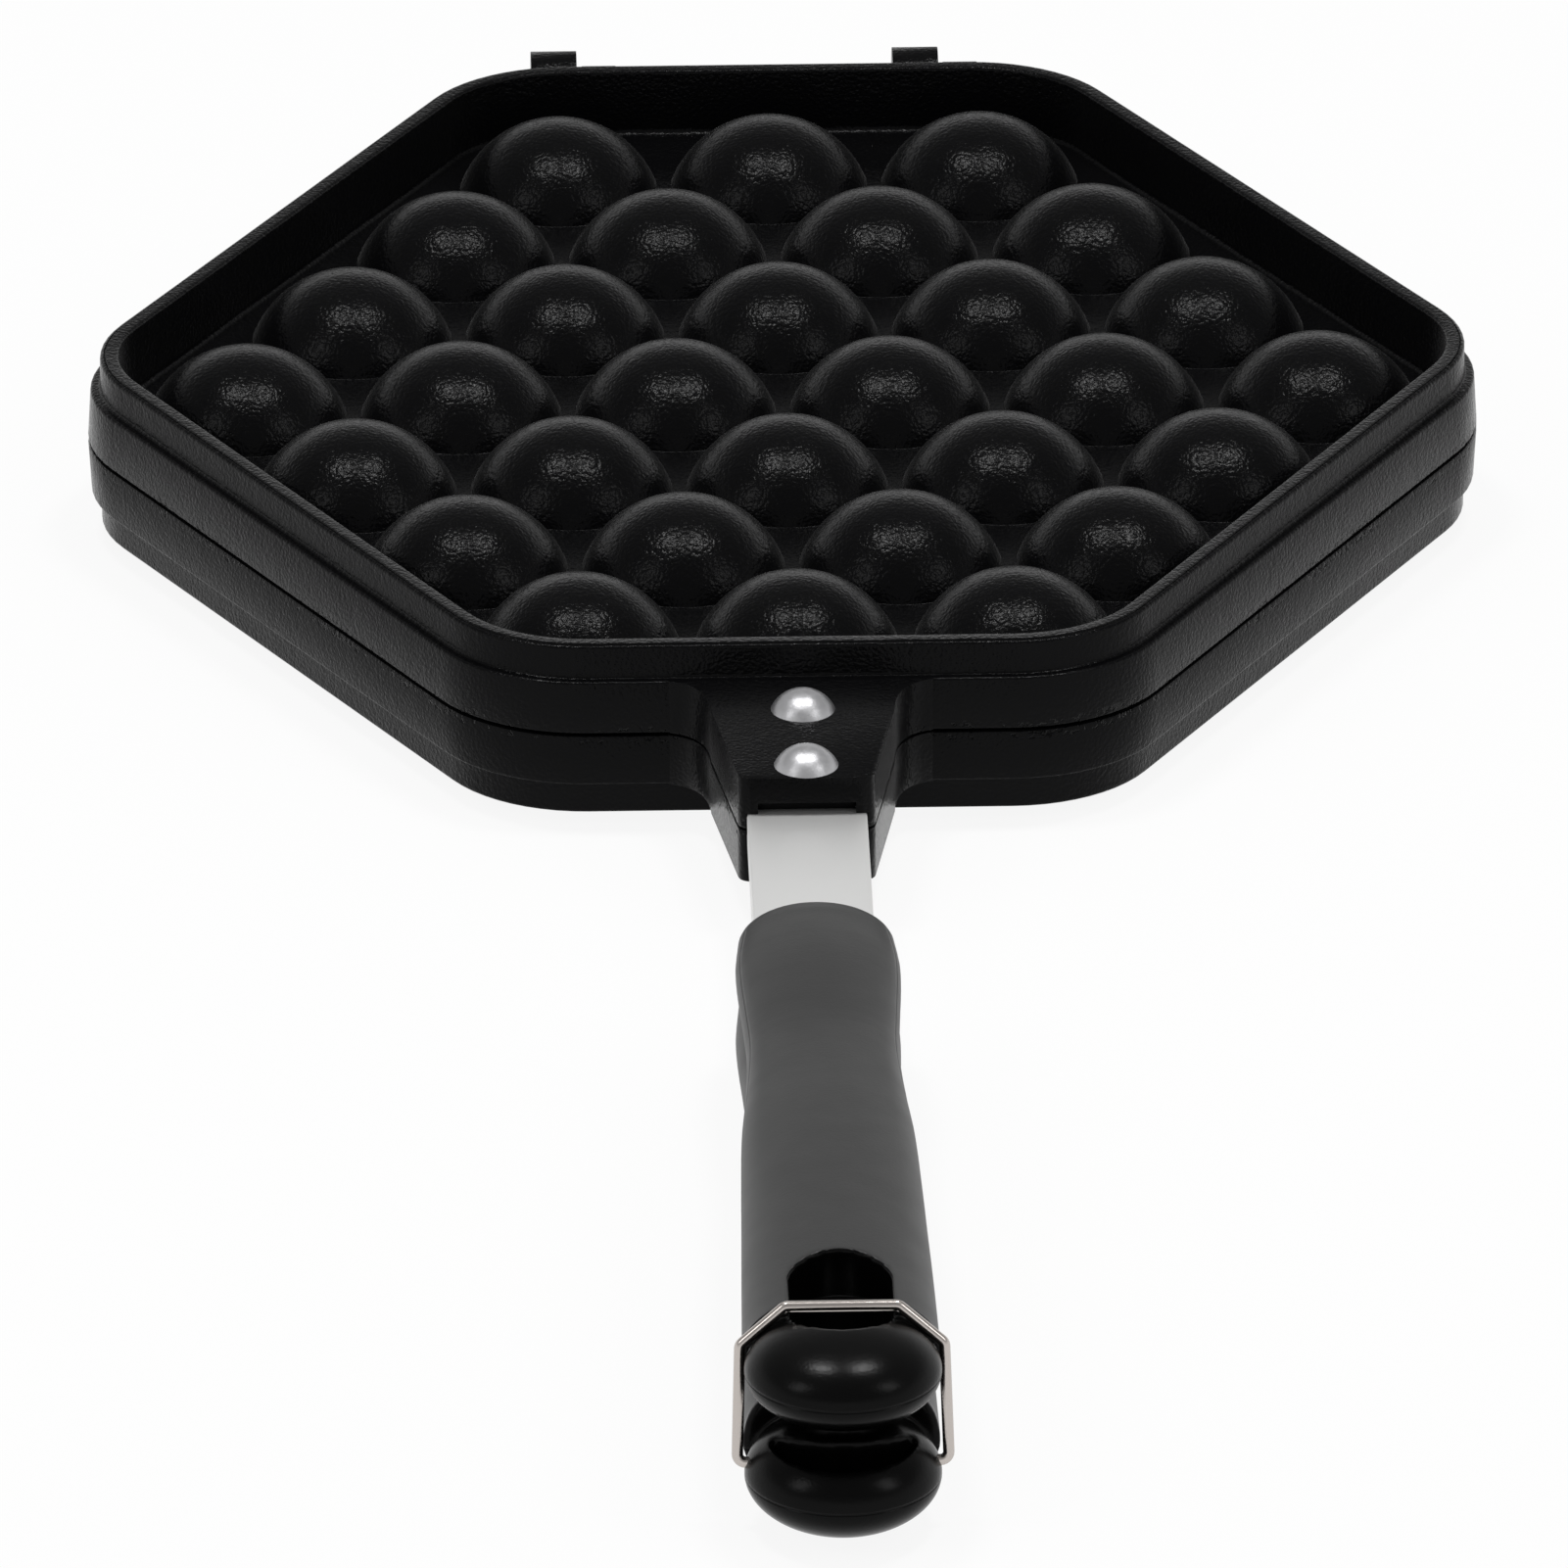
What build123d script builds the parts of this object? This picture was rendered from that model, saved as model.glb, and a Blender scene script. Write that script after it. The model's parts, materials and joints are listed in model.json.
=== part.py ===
from build123d import *
import os
from math import acos, asin, cos, pi, sin, sqrt

# Egg waffle pan: two cast aluminium halves, hinged at the far side, with a grip on each half and a
# wire latch that holds the two grips together. Millimetres, +Z up. Every size is given about the
# centre of the pan on the parting plane: X to the right, +Y to the hinge, the grips along -Y.
# Each solid is moved at the end, so that the origin is the bottom centre of the whole object.

# ---- cells: thirty half balls in each half, in a hexagonal pattern ----
CELL_PITCH = 28.0
ROWS = (3, 4, 5, 6, 5, 4, 3)
DOME_R = 13.1
WALL = 2.0
DOME_CENTRE_Z = -1.3
DOME_SIDES = 10
DOME_BANDS = 2
HOLLOW_SIDES = 8
HOLLOW_BANDS = 2
TOP_FACET = 0.5

# ---- pan casting: rounded hexagon round the cells ----
HALF_GAP = 0.15
LIP_SLANT = 19.2
LIP_NEAR = 19.95
LIP_CORNER_R = 20.0
LIP_WIDTH = 2.5
LIP_CHAMFER = 0.6
RIM_TOP = 11.8
LEDGE_Z = 7.2
LEDGE_STEP = 1.3
PARTING_STEP = 1.65
FLANGE_EDGE = 0.4
FLOOR_Z = 2.7
WEB_GAP = 0.8
LAND_INSET = 4.2

# ---- hinge ----
HINGE_REACH = 6.154
HINGE_Z = 4.5
EAR_R = 5.4
EAR_W = 6.1
KNUCKLE_R = 3.6
KNUCKLE_W = 4.8
HINGE_SIDE_GAP = 0.6
EAR_LEFT_X = (-31.2, 17.2)
PIN_R = 1.5
PIN_FIT = 0.05
POST_ROOT = 3.0

# ---- handle brackets, tangs and rivets: reaches are counted from the flange's edge ----
BRACKET_ROOT_X = 16.8
BRACKET_NECK_X = 11.7
BRACKET_NECK_REACH = 8.654
BRACKET_FRONT_X = 8.5
BRACKET_FRONT_REACH = 29.054
BRACKET_FLARE_R = 7.0
BRACKET_EDGE_R = 1.0
TANG_W = 15.2
TANG_T = 2.0
TANG_Z = 0.2
TANG_BACK_REACH = 2.654
TANG_FRONT_REACH = 168.654
TANG_FIT = 0.1
RIVET_REACH = (8.254, 25.054)
RIVET_HEAD_R = 4.1
RIVET_HEAD_H = 2.6
RIVET_SHANK_R = 2.2
RIVET_TAIL_R = 3.2

# ---- grips: distances along them are counted from a line a little inside the flange's edge ----
GRIP_ZERO_INSET = 3.316
GRIP_WALL_L = 194.0
GRIP_TOP = 13.6
GRIP_MID_Z = 6.3
GRIP_EDGE = 3.4
GRIP_GAP = 0.15
KNOB_R = 12.0
# along the grip: distance, half width, height of the top
GRIP_FORM = (
    (78.0, 9.9, 10.1),
    (87.0, 10.3, 10.8),
    (98.0, 9.9, 10.9),
    (111.0, 9.5, 10.8),
    (134.0, 10.7, 12.0),
    (162.0, 11.4, 13.0),
    (GRIP_WALL_L, KNOB_R, GRIP_TOP),
)
NOSE_L = 66.5
NOSE_STEPS = 4
KNOB_STEP = 6.4
KNOB_Z = 6.9
KNOB_HALF_H = 6.0
LOWER_KNOB_HALF_H = 6.7
KNOB_BANDS = 8
SHELL = 3.2
SLOT_WALL_R = 10.0
SLOT_R = 6.2
SLOT_STEP = 1.0
SLOT_LENGTH = 8.2
SCREW_FROM_NOSE = 17.5
SCREW_FROM_TANG_END = 13.97
SCREW_R = 2.0
SCREW_HEAD_R = 3.6
SCREW_DEPTH = 8.0

# ---- latch wire: swings on the lower knob and drops over the upper one ----
WIRE_R = 0.7
WIRE_GAP = 0.3
WIRE_BAR_HALF = 7.1
WIRE_BAR_RISE = 0.52
WIRE_SHOULDER_RISE = 1.72
WIRE_PIVOT_RISE = 1.2
WIRE_BEND_R = 1.6
WIRE_FOOT_BEND_R = 1.2
WIRE_BEND_STEPS = 2
WIRE_HOLD = 2.4
WIRE_FIT = 0.05
WIRE_HOLE_CHAMFER = 0.6

# ---- worked out from the sizes above ----
ROW_PITCH = CELL_PITCH * sqrt(3) / 2
END_ROW_Y = ROW_PITCH * (len(ROWS) // 2)
SIDE_CELL_X = CELL_PITCH * (max(ROWS) - 1) / 2
SIDE_CELL_DISTANCE = SIDE_CELL_X * sin(pi / 3)
FLANGE_Y = END_ROW_Y + LIP_NEAR + PARTING_STEP
HINGE_Y = FLANGE_Y + HINGE_REACH
BRACKET_NECK_Y = -FLANGE_Y - BRACKET_NECK_REACH
BRACKET_FRONT_Y = -FLANGE_Y - BRACKET_FRONT_REACH
TANG_BACK_Y = -FLANGE_Y - TANG_BACK_REACH
TANG_FRONT_Y = -FLANGE_Y - TANG_FRONT_REACH
RIVET_Y = [-FLANGE_Y - reach for reach in RIVET_REACH]
GRIP_ZERO_Y = GRIP_ZERO_INSET - FLANGE_Y
SCREW_Y = (GRIP_ZERO_Y - NOSE_L - SCREW_FROM_NOSE, TANG_FRONT_Y + SCREW_FROM_TANG_END)
KNOB_L = GRIP_WALL_L + KNOB_STEP
KNOB_Y = GRIP_ZERO_Y - KNOB_L
SLOT_FRONT_L = GRIP_WALL_L + SLOT_STEP
SLOT_BACK_L = SLOT_FRONT_L - SLOT_LENGTH
LEG_X = KNOB_R + WIRE_GAP + WIRE_R
WIRE_END_X = KNOB_R - WIRE_HOLD
WIRE_BAR_L = GRIP_WALL_L + WIRE_GAP + WIRE_R
WIRE_BAR_Z = KNOB_Z + KNOB_HALF_H + WIRE_BAR_RISE
WIRE_SHOULDER_Z = KNOB_Z + WIRE_SHOULDER_RISE
PIVOT_Z = WIRE_PIVOT_RISE - KNOB_Z
BOTTOM_Z = -(KNOB_Z + LOWER_KNOB_HALF_H)
FAR_Y = HINGE_Y + EAR_R
NEAR_Y = KNOB_Y - KNOB_R
TO_ORIGIN = Location((0, -(FAR_Y + NEAR_Y) / 2, -BOTTOM_Z))


def at_grip(distance):
    """Y of a point that lies this far along the grip."""
    return GRIP_ZERO_Y - distance


def block(x0, x1, y0, y1, z0, z1):
    """Box between two corners."""
    centre = ((x0 + x1) / 2, (y0 + y1) / 2, (z0 + z1) / 2)
    return Pos(*centre) * Box(abs(x1 - x0), abs(y1 - y0), abs(z1 - z0))


def rod(radius, x0, x1, y, z):
    """Round bar along X."""
    return Pos((x0 + x1) / 2, y, z) * Rot(0, 90, 0) * Cylinder(radius, abs(x1 - x0))


def cell_centres():
    """Centres of the cells, row by row."""
    points = []
    for row, count in enumerate(ROWS):
        y = ROW_PITCH * (row - len(ROWS) // 2)
        for i in range(count):
            points.append((CELL_PITCH * (i - (count - 1) / 2), y))
    return points


def hexagon(step, corner_r):
    """Rounded hexagon round the cells, this far outside the lip."""
    near_y = END_ROW_Y + LIP_NEAR + step
    slant = SIDE_CELL_DISTANCE + LIP_SLANT + step
    side_x = slant / sin(pi / 3)
    end_x = (slant - near_y * cos(pi / 3)) / sin(pi / 3)
    corners = [(side_x, 0), (end_x, near_y), (-end_x, near_y), (-side_x, 0), (-end_x, -near_y), (end_x, -near_y)]
    sharp = make_face(Polyline(*corners, close=True))
    return fillet(sharp.vertices(), corner_r)


def ball(radius, base_z, sides, bands):
    """Upper part of a cell's ball, from the base up, as a closed shell of flat facets."""
    low = acos((base_z - DOME_CENTRE_Z) / radius)
    rings = []
    for band in range(bands + 1):
        angle = low * (1 - band / (bands + TOP_FACET))
        z = DOME_CENTRE_Z + radius * (1 if band == bands else cos(angle))
        turns = [2 * pi * (i + 0.5) / sides for i in range(sides)]
        rings.append([(radius * sin(angle) * cos(t), radius * sin(angle) * sin(t), z) for t in turns])
    faces = [Face(Wire.make_polygon(rings[0])), Face(Wire.make_polygon(rings[-1]))]
    for lower, upper in zip(rings, rings[1:]):
        for i in range(sides):
            j = (i + 1) % sides
            faces.append(Face(Wire.make_polygon([lower[i], lower[j], upper[j], upper[i]])))
    return Solid(Shell(faces))


def pan_casting():
    """Upper casting without its hinge and handle: flange, lip, floor and hollow domes."""
    parting = Pos(0, 0, HALF_GAP + FLANGE_EDGE) * hexagon(PARTING_STEP, LIP_CORNER_R + PARTING_STEP)
    ledge = Pos(0, 0, LEDGE_Z) * hexagon(LEDGE_STEP, LIP_CORNER_R + LEDGE_STEP)
    edge_step = PARTING_STEP - FLANGE_EDGE
    edge = Pos(0, 0, HALF_GAP) * hexagon(edge_step, LIP_CORNER_R + edge_step)
    flange = loft([edge, parting], ruled=True) + loft([parting, ledge], ruled=True)
    lip = extrude(Pos(0, 0, FLOOR_Z) * hexagon(0, LIP_CORNER_R), RIM_TOP - FLOOR_Z)
    basin = extrude(Pos(0, 0, FLOOR_Z) * hexagon(-LIP_WIDTH, LIP_CORNER_R - LIP_WIDTH), RIM_TOP)
    body = flange + lip - basin
    body = chamfer(body.edges().group_by(Axis.Z)[-1], LIP_CHAMFER)
    web = hexagon(-LAND_INSET, LIP_CORNER_R - LAND_INSET)
    body -= extrude(Pos(0, 0, HALF_GAP) * web, WEB_GAP - HALF_GAP)
    dome = ball(DOME_R, FLOOR_Z - WALL / 2, DOME_SIDES, DOME_BANDS)
    hollow = ball(DOME_R - WALL, 0, HOLLOW_SIDES, HOLLOW_BANDS)
    centres = cell_centres()
    body = body + [Pos(x, y, 0) * dome for x, y in centres]
    return body - [Pos(x, y, 0) * hollow for x, y in centres]


def bracket():
    """Handle bracket of the upper casting, flared into the flange, with the seat of the tang."""
    root_y = -FLANGE_Y + PARTING_STEP
    half = Polyline(
        (0, root_y),
        (BRACKET_ROOT_X, root_y),
        (BRACKET_ROOT_X, -FLANGE_Y),
        (BRACKET_NECK_X, BRACKET_NECK_Y),
        (BRACKET_FRONT_X, BRACKET_FRONT_Y),
        (0, BRACKET_FRONT_Y),
        close=True,
    )
    plan = make_face(half)
    plan = plan + mirror(plan, Plane.YZ)
    neck = plan.vertices().filter_by(lambda v: abs(v.Y - BRACKET_NECK_Y) < HALF_GAP)
    plan = fillet(neck, BRACKET_FLARE_R)
    body = extrude(Pos(0, 0, HALF_GAP) * plan, LEDGE_Z - HALF_GAP)
    front = body.edges().filter_by(Axis.Z).group_by(Axis.Y)[0]
    body = fillet(front, BRACKET_EDGE_R)
    seat_half = TANG_W / 2 + TANG_FIT
    seat = block(-seat_half, seat_half, TANG_BACK_Y, at_grip(GRIP_WALL_L), 0, TANG_Z + TANG_T)
    return body - seat


def rivet_holes():
    """Holes for the shanks of the rivets."""
    return [Pos(0, y, LEDGE_Z / 2) * Cylinder(RIVET_SHANK_R, LEDGE_Z) for y in RIVET_Y]


def hinge_ears():
    """Tall ears of the lower half, with the pin holes."""
    ears = []
    for left in EAR_LEFT_X:
        eye = rod(EAR_R, left, left + EAR_W, HINGE_Y, HINGE_Z)
        post = block(left, left + EAR_W, HINGE_Y - EAR_R, HINGE_Y + EAR_R, -LEDGE_Z + POST_ROOT, HINGE_Z)
        foot = block(left, left + EAR_W, FLANGE_Y - PARTING_STEP, HINGE_Y, -LEDGE_Z + FLANGE_EDGE, -HALF_GAP)
        web = eye + post + foot
        heel = web.edges().filter_by(Axis.X).sort_by(lambda e: e.center().Y - e.center().Z)[-1]
        web = fillet(heel, EAR_R / 2)
        ears.append(web - rod(PIN_R, left, left + EAR_W, HINGE_Y, HINGE_Z))
    return ears


def hinge_knuckles():
    """Low knuckles of the upper half, right of the ears, with running holes for the pins."""
    knuckles = []
    for left in EAR_LEFT_X:
        x0 = left + EAR_W + HINGE_SIDE_GAP
        x1 = x0 + KNUCKLE_W
        eye = rod(KNUCKLE_R, x0, x1, HINGE_Y, HINGE_Z)
        arm = block(x0, x1, FLANGE_Y - PARTING_STEP, HINGE_Y, HINGE_Z - KNUCKLE_R, LEDGE_Z - FLANGE_EDGE)
        knuckles.append(eye + arm - rod(PIN_R + PIN_FIT, x0, x1, HINGE_Y, HINGE_Z))
    return knuckles


def hinge_pin(left):
    """Pin, pressed into the ear and running in the knuckle."""
    return rod(PIN_R, left, left + EAR_W + HINGE_SIDE_GAP + KNUCKLE_W, HINGE_Y, HINGE_Z)


def tang():
    """Flat steel strip that joins the bracket and the grip, drilled for rivets and screws."""
    strip = block(-TANG_W / 2, TANG_W / 2, TANG_BACK_Y, TANG_FRONT_Y, TANG_Z, TANG_Z + TANG_T)
    corners = strip.edges().filter_by(Axis.Z)
    strip = fillet(corners, TANG_T)
    for y in RIVET_Y:
        strip -= Pos(0, y, TANG_Z + TANG_T / 2) * Cone(RIVET_TAIL_R, RIVET_SHANK_R, TANG_T)
    for y in SCREW_Y:
        strip -= Pos(0, y, TANG_Z + TANG_T / 2) * Cone(SCREW_HEAD_R, SCREW_R, TANG_T)
    return strip


def rivet(y):
    """Domed head on the bracket, shank, and tail set flush into the tang."""
    ball_r = (RIVET_HEAD_R**2 + RIVET_HEAD_H**2) / (2 * RIVET_HEAD_H)
    ball_z = LEDGE_Z + RIVET_HEAD_H - ball_r
    half_turn = asin(RIVET_HEAD_R / ball_r) / 2
    crown_mid = (ball_r * sin(half_turn), ball_z + ball_r * cos(half_turn))
    crown = ThreePointArc((RIVET_HEAD_R, LEDGE_Z), crown_mid, (0, LEDGE_Z + RIVET_HEAD_H))
    outline = Polyline(
        (0, LEDGE_Z + RIVET_HEAD_H),
        (0, TANG_Z),
        (RIVET_TAIL_R, TANG_Z),
        (RIVET_SHANK_R, TANG_Z + TANG_T),
        (RIVET_SHANK_R, LEDGE_Z),
        (RIVET_HEAD_R, LEDGE_Z),
    )
    return Pos(0, y, 0) * revolve(Plane.XZ * make_face([crown, outline]), Axis.Z)


def grip_screw(y):
    """Countersunk screw from the tang into the grip."""
    head = Pos(0, y, TANG_Z + TANG_T / 2) * Cone(SCREW_HEAD_R, SCREW_R, TANG_T)
    shank = Pos(0, y, TANG_Z + SCREW_DEPTH / 2) * Cylinder(SCREW_R, SCREW_DEPTH)
    return head + shank


def grip_section(distance, half_w, top):
    """Section of a grip: oval top, rounded lower corners, flat mating side."""
    side_h = GRIP_GAP + (GRIP_MID_Z - GRIP_GAP) * top / GRIP_TOP
    foot = half_w - GRIP_EDGE * half_w / KNOB_R
    base = Line((-foot, GRIP_GAP), (foot, GRIP_GAP))
    diagonal = sqrt(0.5)
    right_mid = (foot + (half_w - foot) * diagonal, side_h - (side_h - GRIP_GAP) * diagonal)
    right = ThreePointArc((foot, GRIP_GAP), right_mid, (half_w, side_h))
    quarter = 90
    over_right = EllipticalCenterArc((0, side_h), half_w, top - side_h, 0, arc_size=quarter)
    over_left = EllipticalCenterArc((0, side_h), half_w, top - side_h, quarter, arc_size=quarter)
    left = ThreePointArc((-half_w, side_h), (-right_mid[0], right_mid[1]), (-foot, GRIP_GAP))
    section = make_face([base, right, over_right, over_left, left])
    return Plane(origin=(0, at_grip(distance), 0), x_dir=(1, 0, 0), z_dir=(0, -1, 0)) * section


def nose_sections():
    """Sections of the rounded nose, which swells to the first station like a quarter ellipse."""
    start_l, start_w, start_top = GRIP_FORM[0]
    sections = []
    for i in range(1, NOSE_STEPS + 1):
        angle = pi / 2 * i / NOSE_STEPS
        distance = start_l - (start_l - NOSE_L) * cos(angle)
        sections.append(grip_section(distance, start_w * sin(angle), start_top * sin(angle)))
    return sections


def grip_body(knob_half_h):
    """Solid form of a grip: the rounded nose, the oval bar up to its end wall, and the knob."""
    bar = loft([grip_section(*station) for station in GRIP_FORM], ruled=True)
    nose = loft(nose_sections(), ruled=True)
    turns = [pi * (i / KNOB_BANDS - 0.5) for i in range(KNOB_BANDS + 1)]
    outline = Polyline(*[(KNOB_R * cos(t), knob_half_h * sin(t)) for t in turns], close=True)
    knob = Pos(0, KNOB_Y, KNOB_Z) * revolve(Plane.XZ * make_face(outline), Axis.Z)
    return nose + bar + knob


def slot_prism(radius, height):
    """Upright prism round the hanging slot's two centres."""
    length = SLOT_FRONT_L - SLOT_BACK_L
    centre = at_grip((SLOT_FRONT_L + SLOT_BACK_L) / 2)
    plan = SlotCenterToCenter(length, 2 * radius)
    return Pos(0, centre, 0) * Rot(0, 0, 90) * extrude(plan, height)


def pocket(knob_half_h):
    """Hollow of the knob in front of the slot's wall, open to the mating side."""
    ceiling = KNOB_Z + knob_half_h - SHELL
    hollow = extrude(Pos(0, KNOB_Y) * Circle(KNOB_R - SHELL), ceiling)
    return hollow - slot_prism(SLOT_WALL_R, ceiling)


def grip(knob_half_h):
    """Grip with its hollow knob, its slot, the channel of the tang and the holes of its screws."""
    seat_half = TANG_W / 2 + TANG_FIT
    body = grip_body(knob_half_h) - pocket(knob_half_h) - slot_prism(SLOT_R, 3 * KNOB_R)
    body -= block(-seat_half, seat_half, at_grip(0), TANG_FRONT_Y, 0, TANG_Z + TANG_T)
    for y in SCREW_Y:
        body -= Pos(0, y, SCREW_DEPTH / 2) * Cylinder(SCREW_R, SCREW_DEPTH + 2 * TANG_Z)
    return body


def lower_grip():
    """Lower grip, turned over, with the blind holes of the latch wire."""
    body = mirror(grip(LOWER_KNOB_HALF_H), Plane.XY)
    hole_r = WIRE_R + WIRE_FIT
    mouth_r = hole_r + WIRE_HOLE_CHAMFER
    for side in (-1, 1):
        body -= rod(hole_r, side * (WIRE_END_X - WIRE_GAP), side * LEG_X, KNOB_Y, PIVOT_Z)
        mouth = Cone(mouth_r, hole_r, WIRE_HOLE_CHAMFER)
        body -= Pos(side * (KNOB_R - WIRE_HOLE_CHAMFER / 2), KNOB_Y, PIVOT_Z) * Rot(0, -90 * side, 0) * mouth
    return body


def latch_wire():
    """Bent wire: two turned-in ends, two legs, two shoulders and the bar."""
    bar_y = at_grip(WIRE_BAR_L)
    lean = (bar_y - KNOB_Y) / (WIRE_BAR_Z - PIVOT_Z)
    shoulder_y = KNOB_Y + lean * (WIRE_SHOULDER_Z - PIVOT_Z)
    points = [(WIRE_END_X, KNOB_Y, PIVOT_Z), (LEG_X, KNOB_Y, PIVOT_Z), (LEG_X, shoulder_y, WIRE_SHOULDER_Z)]
    points += [(WIRE_BAR_HALF, bar_y, WIRE_BAR_Z)]
    points += [(-x, y, z) for x, y, z in reversed(points)]
    bends = (WIRE_FOOT_BEND_R, WIRE_BEND_R, WIRE_BEND_R)
    rounded = FilletPolyline(*points, radius=bends + tuple(reversed(bends)))
    stops = [rounded @ 0]
    for piece in rounded.edges():
        steps = 1 if piece.geom_type == GeomType.LINE else WIRE_BEND_STEPS
        stops += [piece @ ((i + 1) / steps) for i in range(steps)]
    start = Plane(origin=stops[0], z_dir=rounded % 0)
    return sweep(start * Circle(WIRE_R), path=Polyline(*stops), transition=Transition.RIGHT)


def save(node, shape):
    """Move a finished solid to the shared origin and write it."""
    export_step(TO_ORIGIN * shape, f"parts/{node}.step")


def main():
    os.makedirs("parts", exist_ok=True)
    casting = pan_casting() + bracket() - rivet_holes()
    save("upper_pan", casting + hinge_knuckles())
    save("lower_pan", mirror(casting, Plane.XY) + hinge_ears())
    save("hinge_pin_left", hinge_pin(EAR_LEFT_X[0]))
    save("hinge_pin_right", hinge_pin(EAR_LEFT_X[1]))
    save("upper_tang", tang())
    save("lower_tang", mirror(tang(), Plane.XY))
    for name, y in zip(("rear", "front"), RIVET_Y):
        save(f"upper_rivet_{name}", rivet(y))
        save(f"lower_rivet_{name}", mirror(rivet(y), Plane.XY))
    for name, y in zip(("rear", "front"), SCREW_Y):
        save(f"upper_grip_screw_{name}", grip_screw(y))
        save(f"lower_grip_screw_{name}", mirror(grip_screw(y), Plane.XY))
    save("upper_grip", grip(KNOB_HALF_H))
    save("lower_grip", lower_grip())
    save("latch_wire", latch_wire())


if __name__ == "__main__":
    main()
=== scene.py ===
import json
from math import acos, atan2, cos, pi, radians, sin, sqrt, tan
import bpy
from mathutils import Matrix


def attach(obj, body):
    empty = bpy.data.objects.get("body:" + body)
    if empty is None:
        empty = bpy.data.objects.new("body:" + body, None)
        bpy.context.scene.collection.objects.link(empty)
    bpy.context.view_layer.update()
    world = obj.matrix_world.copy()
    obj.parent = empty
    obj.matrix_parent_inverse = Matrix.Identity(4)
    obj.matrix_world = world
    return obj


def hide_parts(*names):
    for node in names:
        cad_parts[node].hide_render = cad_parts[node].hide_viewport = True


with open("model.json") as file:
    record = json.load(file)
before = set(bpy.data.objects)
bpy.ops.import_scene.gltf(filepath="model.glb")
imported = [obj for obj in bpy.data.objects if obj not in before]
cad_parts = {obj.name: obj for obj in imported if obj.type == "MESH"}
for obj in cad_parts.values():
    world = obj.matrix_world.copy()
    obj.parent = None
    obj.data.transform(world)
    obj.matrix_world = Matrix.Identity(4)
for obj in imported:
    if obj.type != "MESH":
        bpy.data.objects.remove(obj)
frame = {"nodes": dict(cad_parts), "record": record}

from types import SimpleNamespace

import bmesh
import bpy
from mathutils import Matrix, Vector

bl_info = {
    "name": "Egg waffle pan",
    "version": (1, 0, 0),
    "blender": (4, 5, 0),
    "location": "3D View > Sidebar > Waffle Pan",
    "description": "Dresses the packed egg waffle pan: castings, grips, finishes and studio",
    "category": "Object",
}

MM = 0.001
# The sizes below count from the centre of the pan on the parting plane, in millimetres.
PAN_CENTRE = Vector((0.0, 98.765, 13.6))
UPPER = 1
LOWER = -1
# left faces of the two tall hinge ears
EAR_LEFT_X = (-31.2, 17.2)
# points round a dome and round a hollow
DOME_POINTS = 48
HOLLOW_POINTS = 40


# ---------------------------------------------------------------- sizes and colours

def linear(hex_value):
    """Linear RGB of an sRGB hex value."""
    channels = [int(hex_value[i:i + 2], 16) / 255 for i in (1, 3, 5)]
    return [c / 12.92 if c <= 0.04045 else ((c + 0.055) / 1.055) ** 2.4 for c in channels]


def length(name, description, millimetres):
    """Length property with a default in millimetres."""
    return bpy.props.FloatProperty(
        name=name, description=description, default=millimetres * MM, min=0.0, precision=5, unit="LENGTH")


def colour(name, description, hex_value):
    """Colour property with an sRGB hex default."""
    return bpy.props.FloatVectorProperty(
        name=name, description=description, default=linear(hex_value), min=0.0, max=1.0, size=3, subtype="COLOR")


def in_mm(group):
    """All lengths of a property group, in millimetres."""
    return SimpleNamespace(**{key: getattr(group, key) / MM for key in group.__annotations__})


class PanSizes(bpy.types.PropertyGroup):
    """Sizes of the castings."""
    pitch: length("Cell pitch", "Distance between neighbouring cells", 28.0)
    dome_r: length("Dome radius", "Outer radius of a cell's ball", 14.0)
    dome_drop: length("Dome centre", "Depth of a ball's outer centre past the parting plane", 2.2)
    hollow_r: length("Hollow radius", "Inner radius of a cell's ball", 11.1)
    hollow_drop: length("Hollow centre", "Depth of a ball's inner centre past the parting plane", 1.3)
    foot_r: length("Dome foot", "Radius between a dome and the floor", 0.15)
    lip_slant: length("Lip, slanted sides", "From the outer cells' centres to the lip", 19.2)
    lip_near: length("Lip, near side", "From the end rows' centres to the lip", 19.95)
    corner_r: length("Lip corner", "Corner radius of the lip", 20.0)
    lip_w: length("Lip width", "Width of the lip's top", 2.5)
    lip_edge: length("Lip edge", "Rounding of the lip's edges", 0.45)
    lip_groove: length("Lip groove", "Fine groove along the outside of the lip's top", 0.3)
    rim_z: length("Rim height", "Lip's top over the parting plane", 11.8)
    ledge_z: length("Ledge height", "Flange's ledge over the parting plane", 7.2)
    ledge_step: length("Ledge step", "Width of the ledge", 1.3)
    parting_step: length("Flange step", "Flange's edge outside the lip", 1.65)
    floor_z: length("Floor height", "Floor between the domes", 2.7)
    basin_r: length("Basin corner", "Radius between floor and wall", 0.8)
    web_z: length("Web gap", "Web's inner side over the parting plane", 0.8)
    gap: length("Half gap", "Castings' faces from the parting plane", 0.15)


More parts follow.
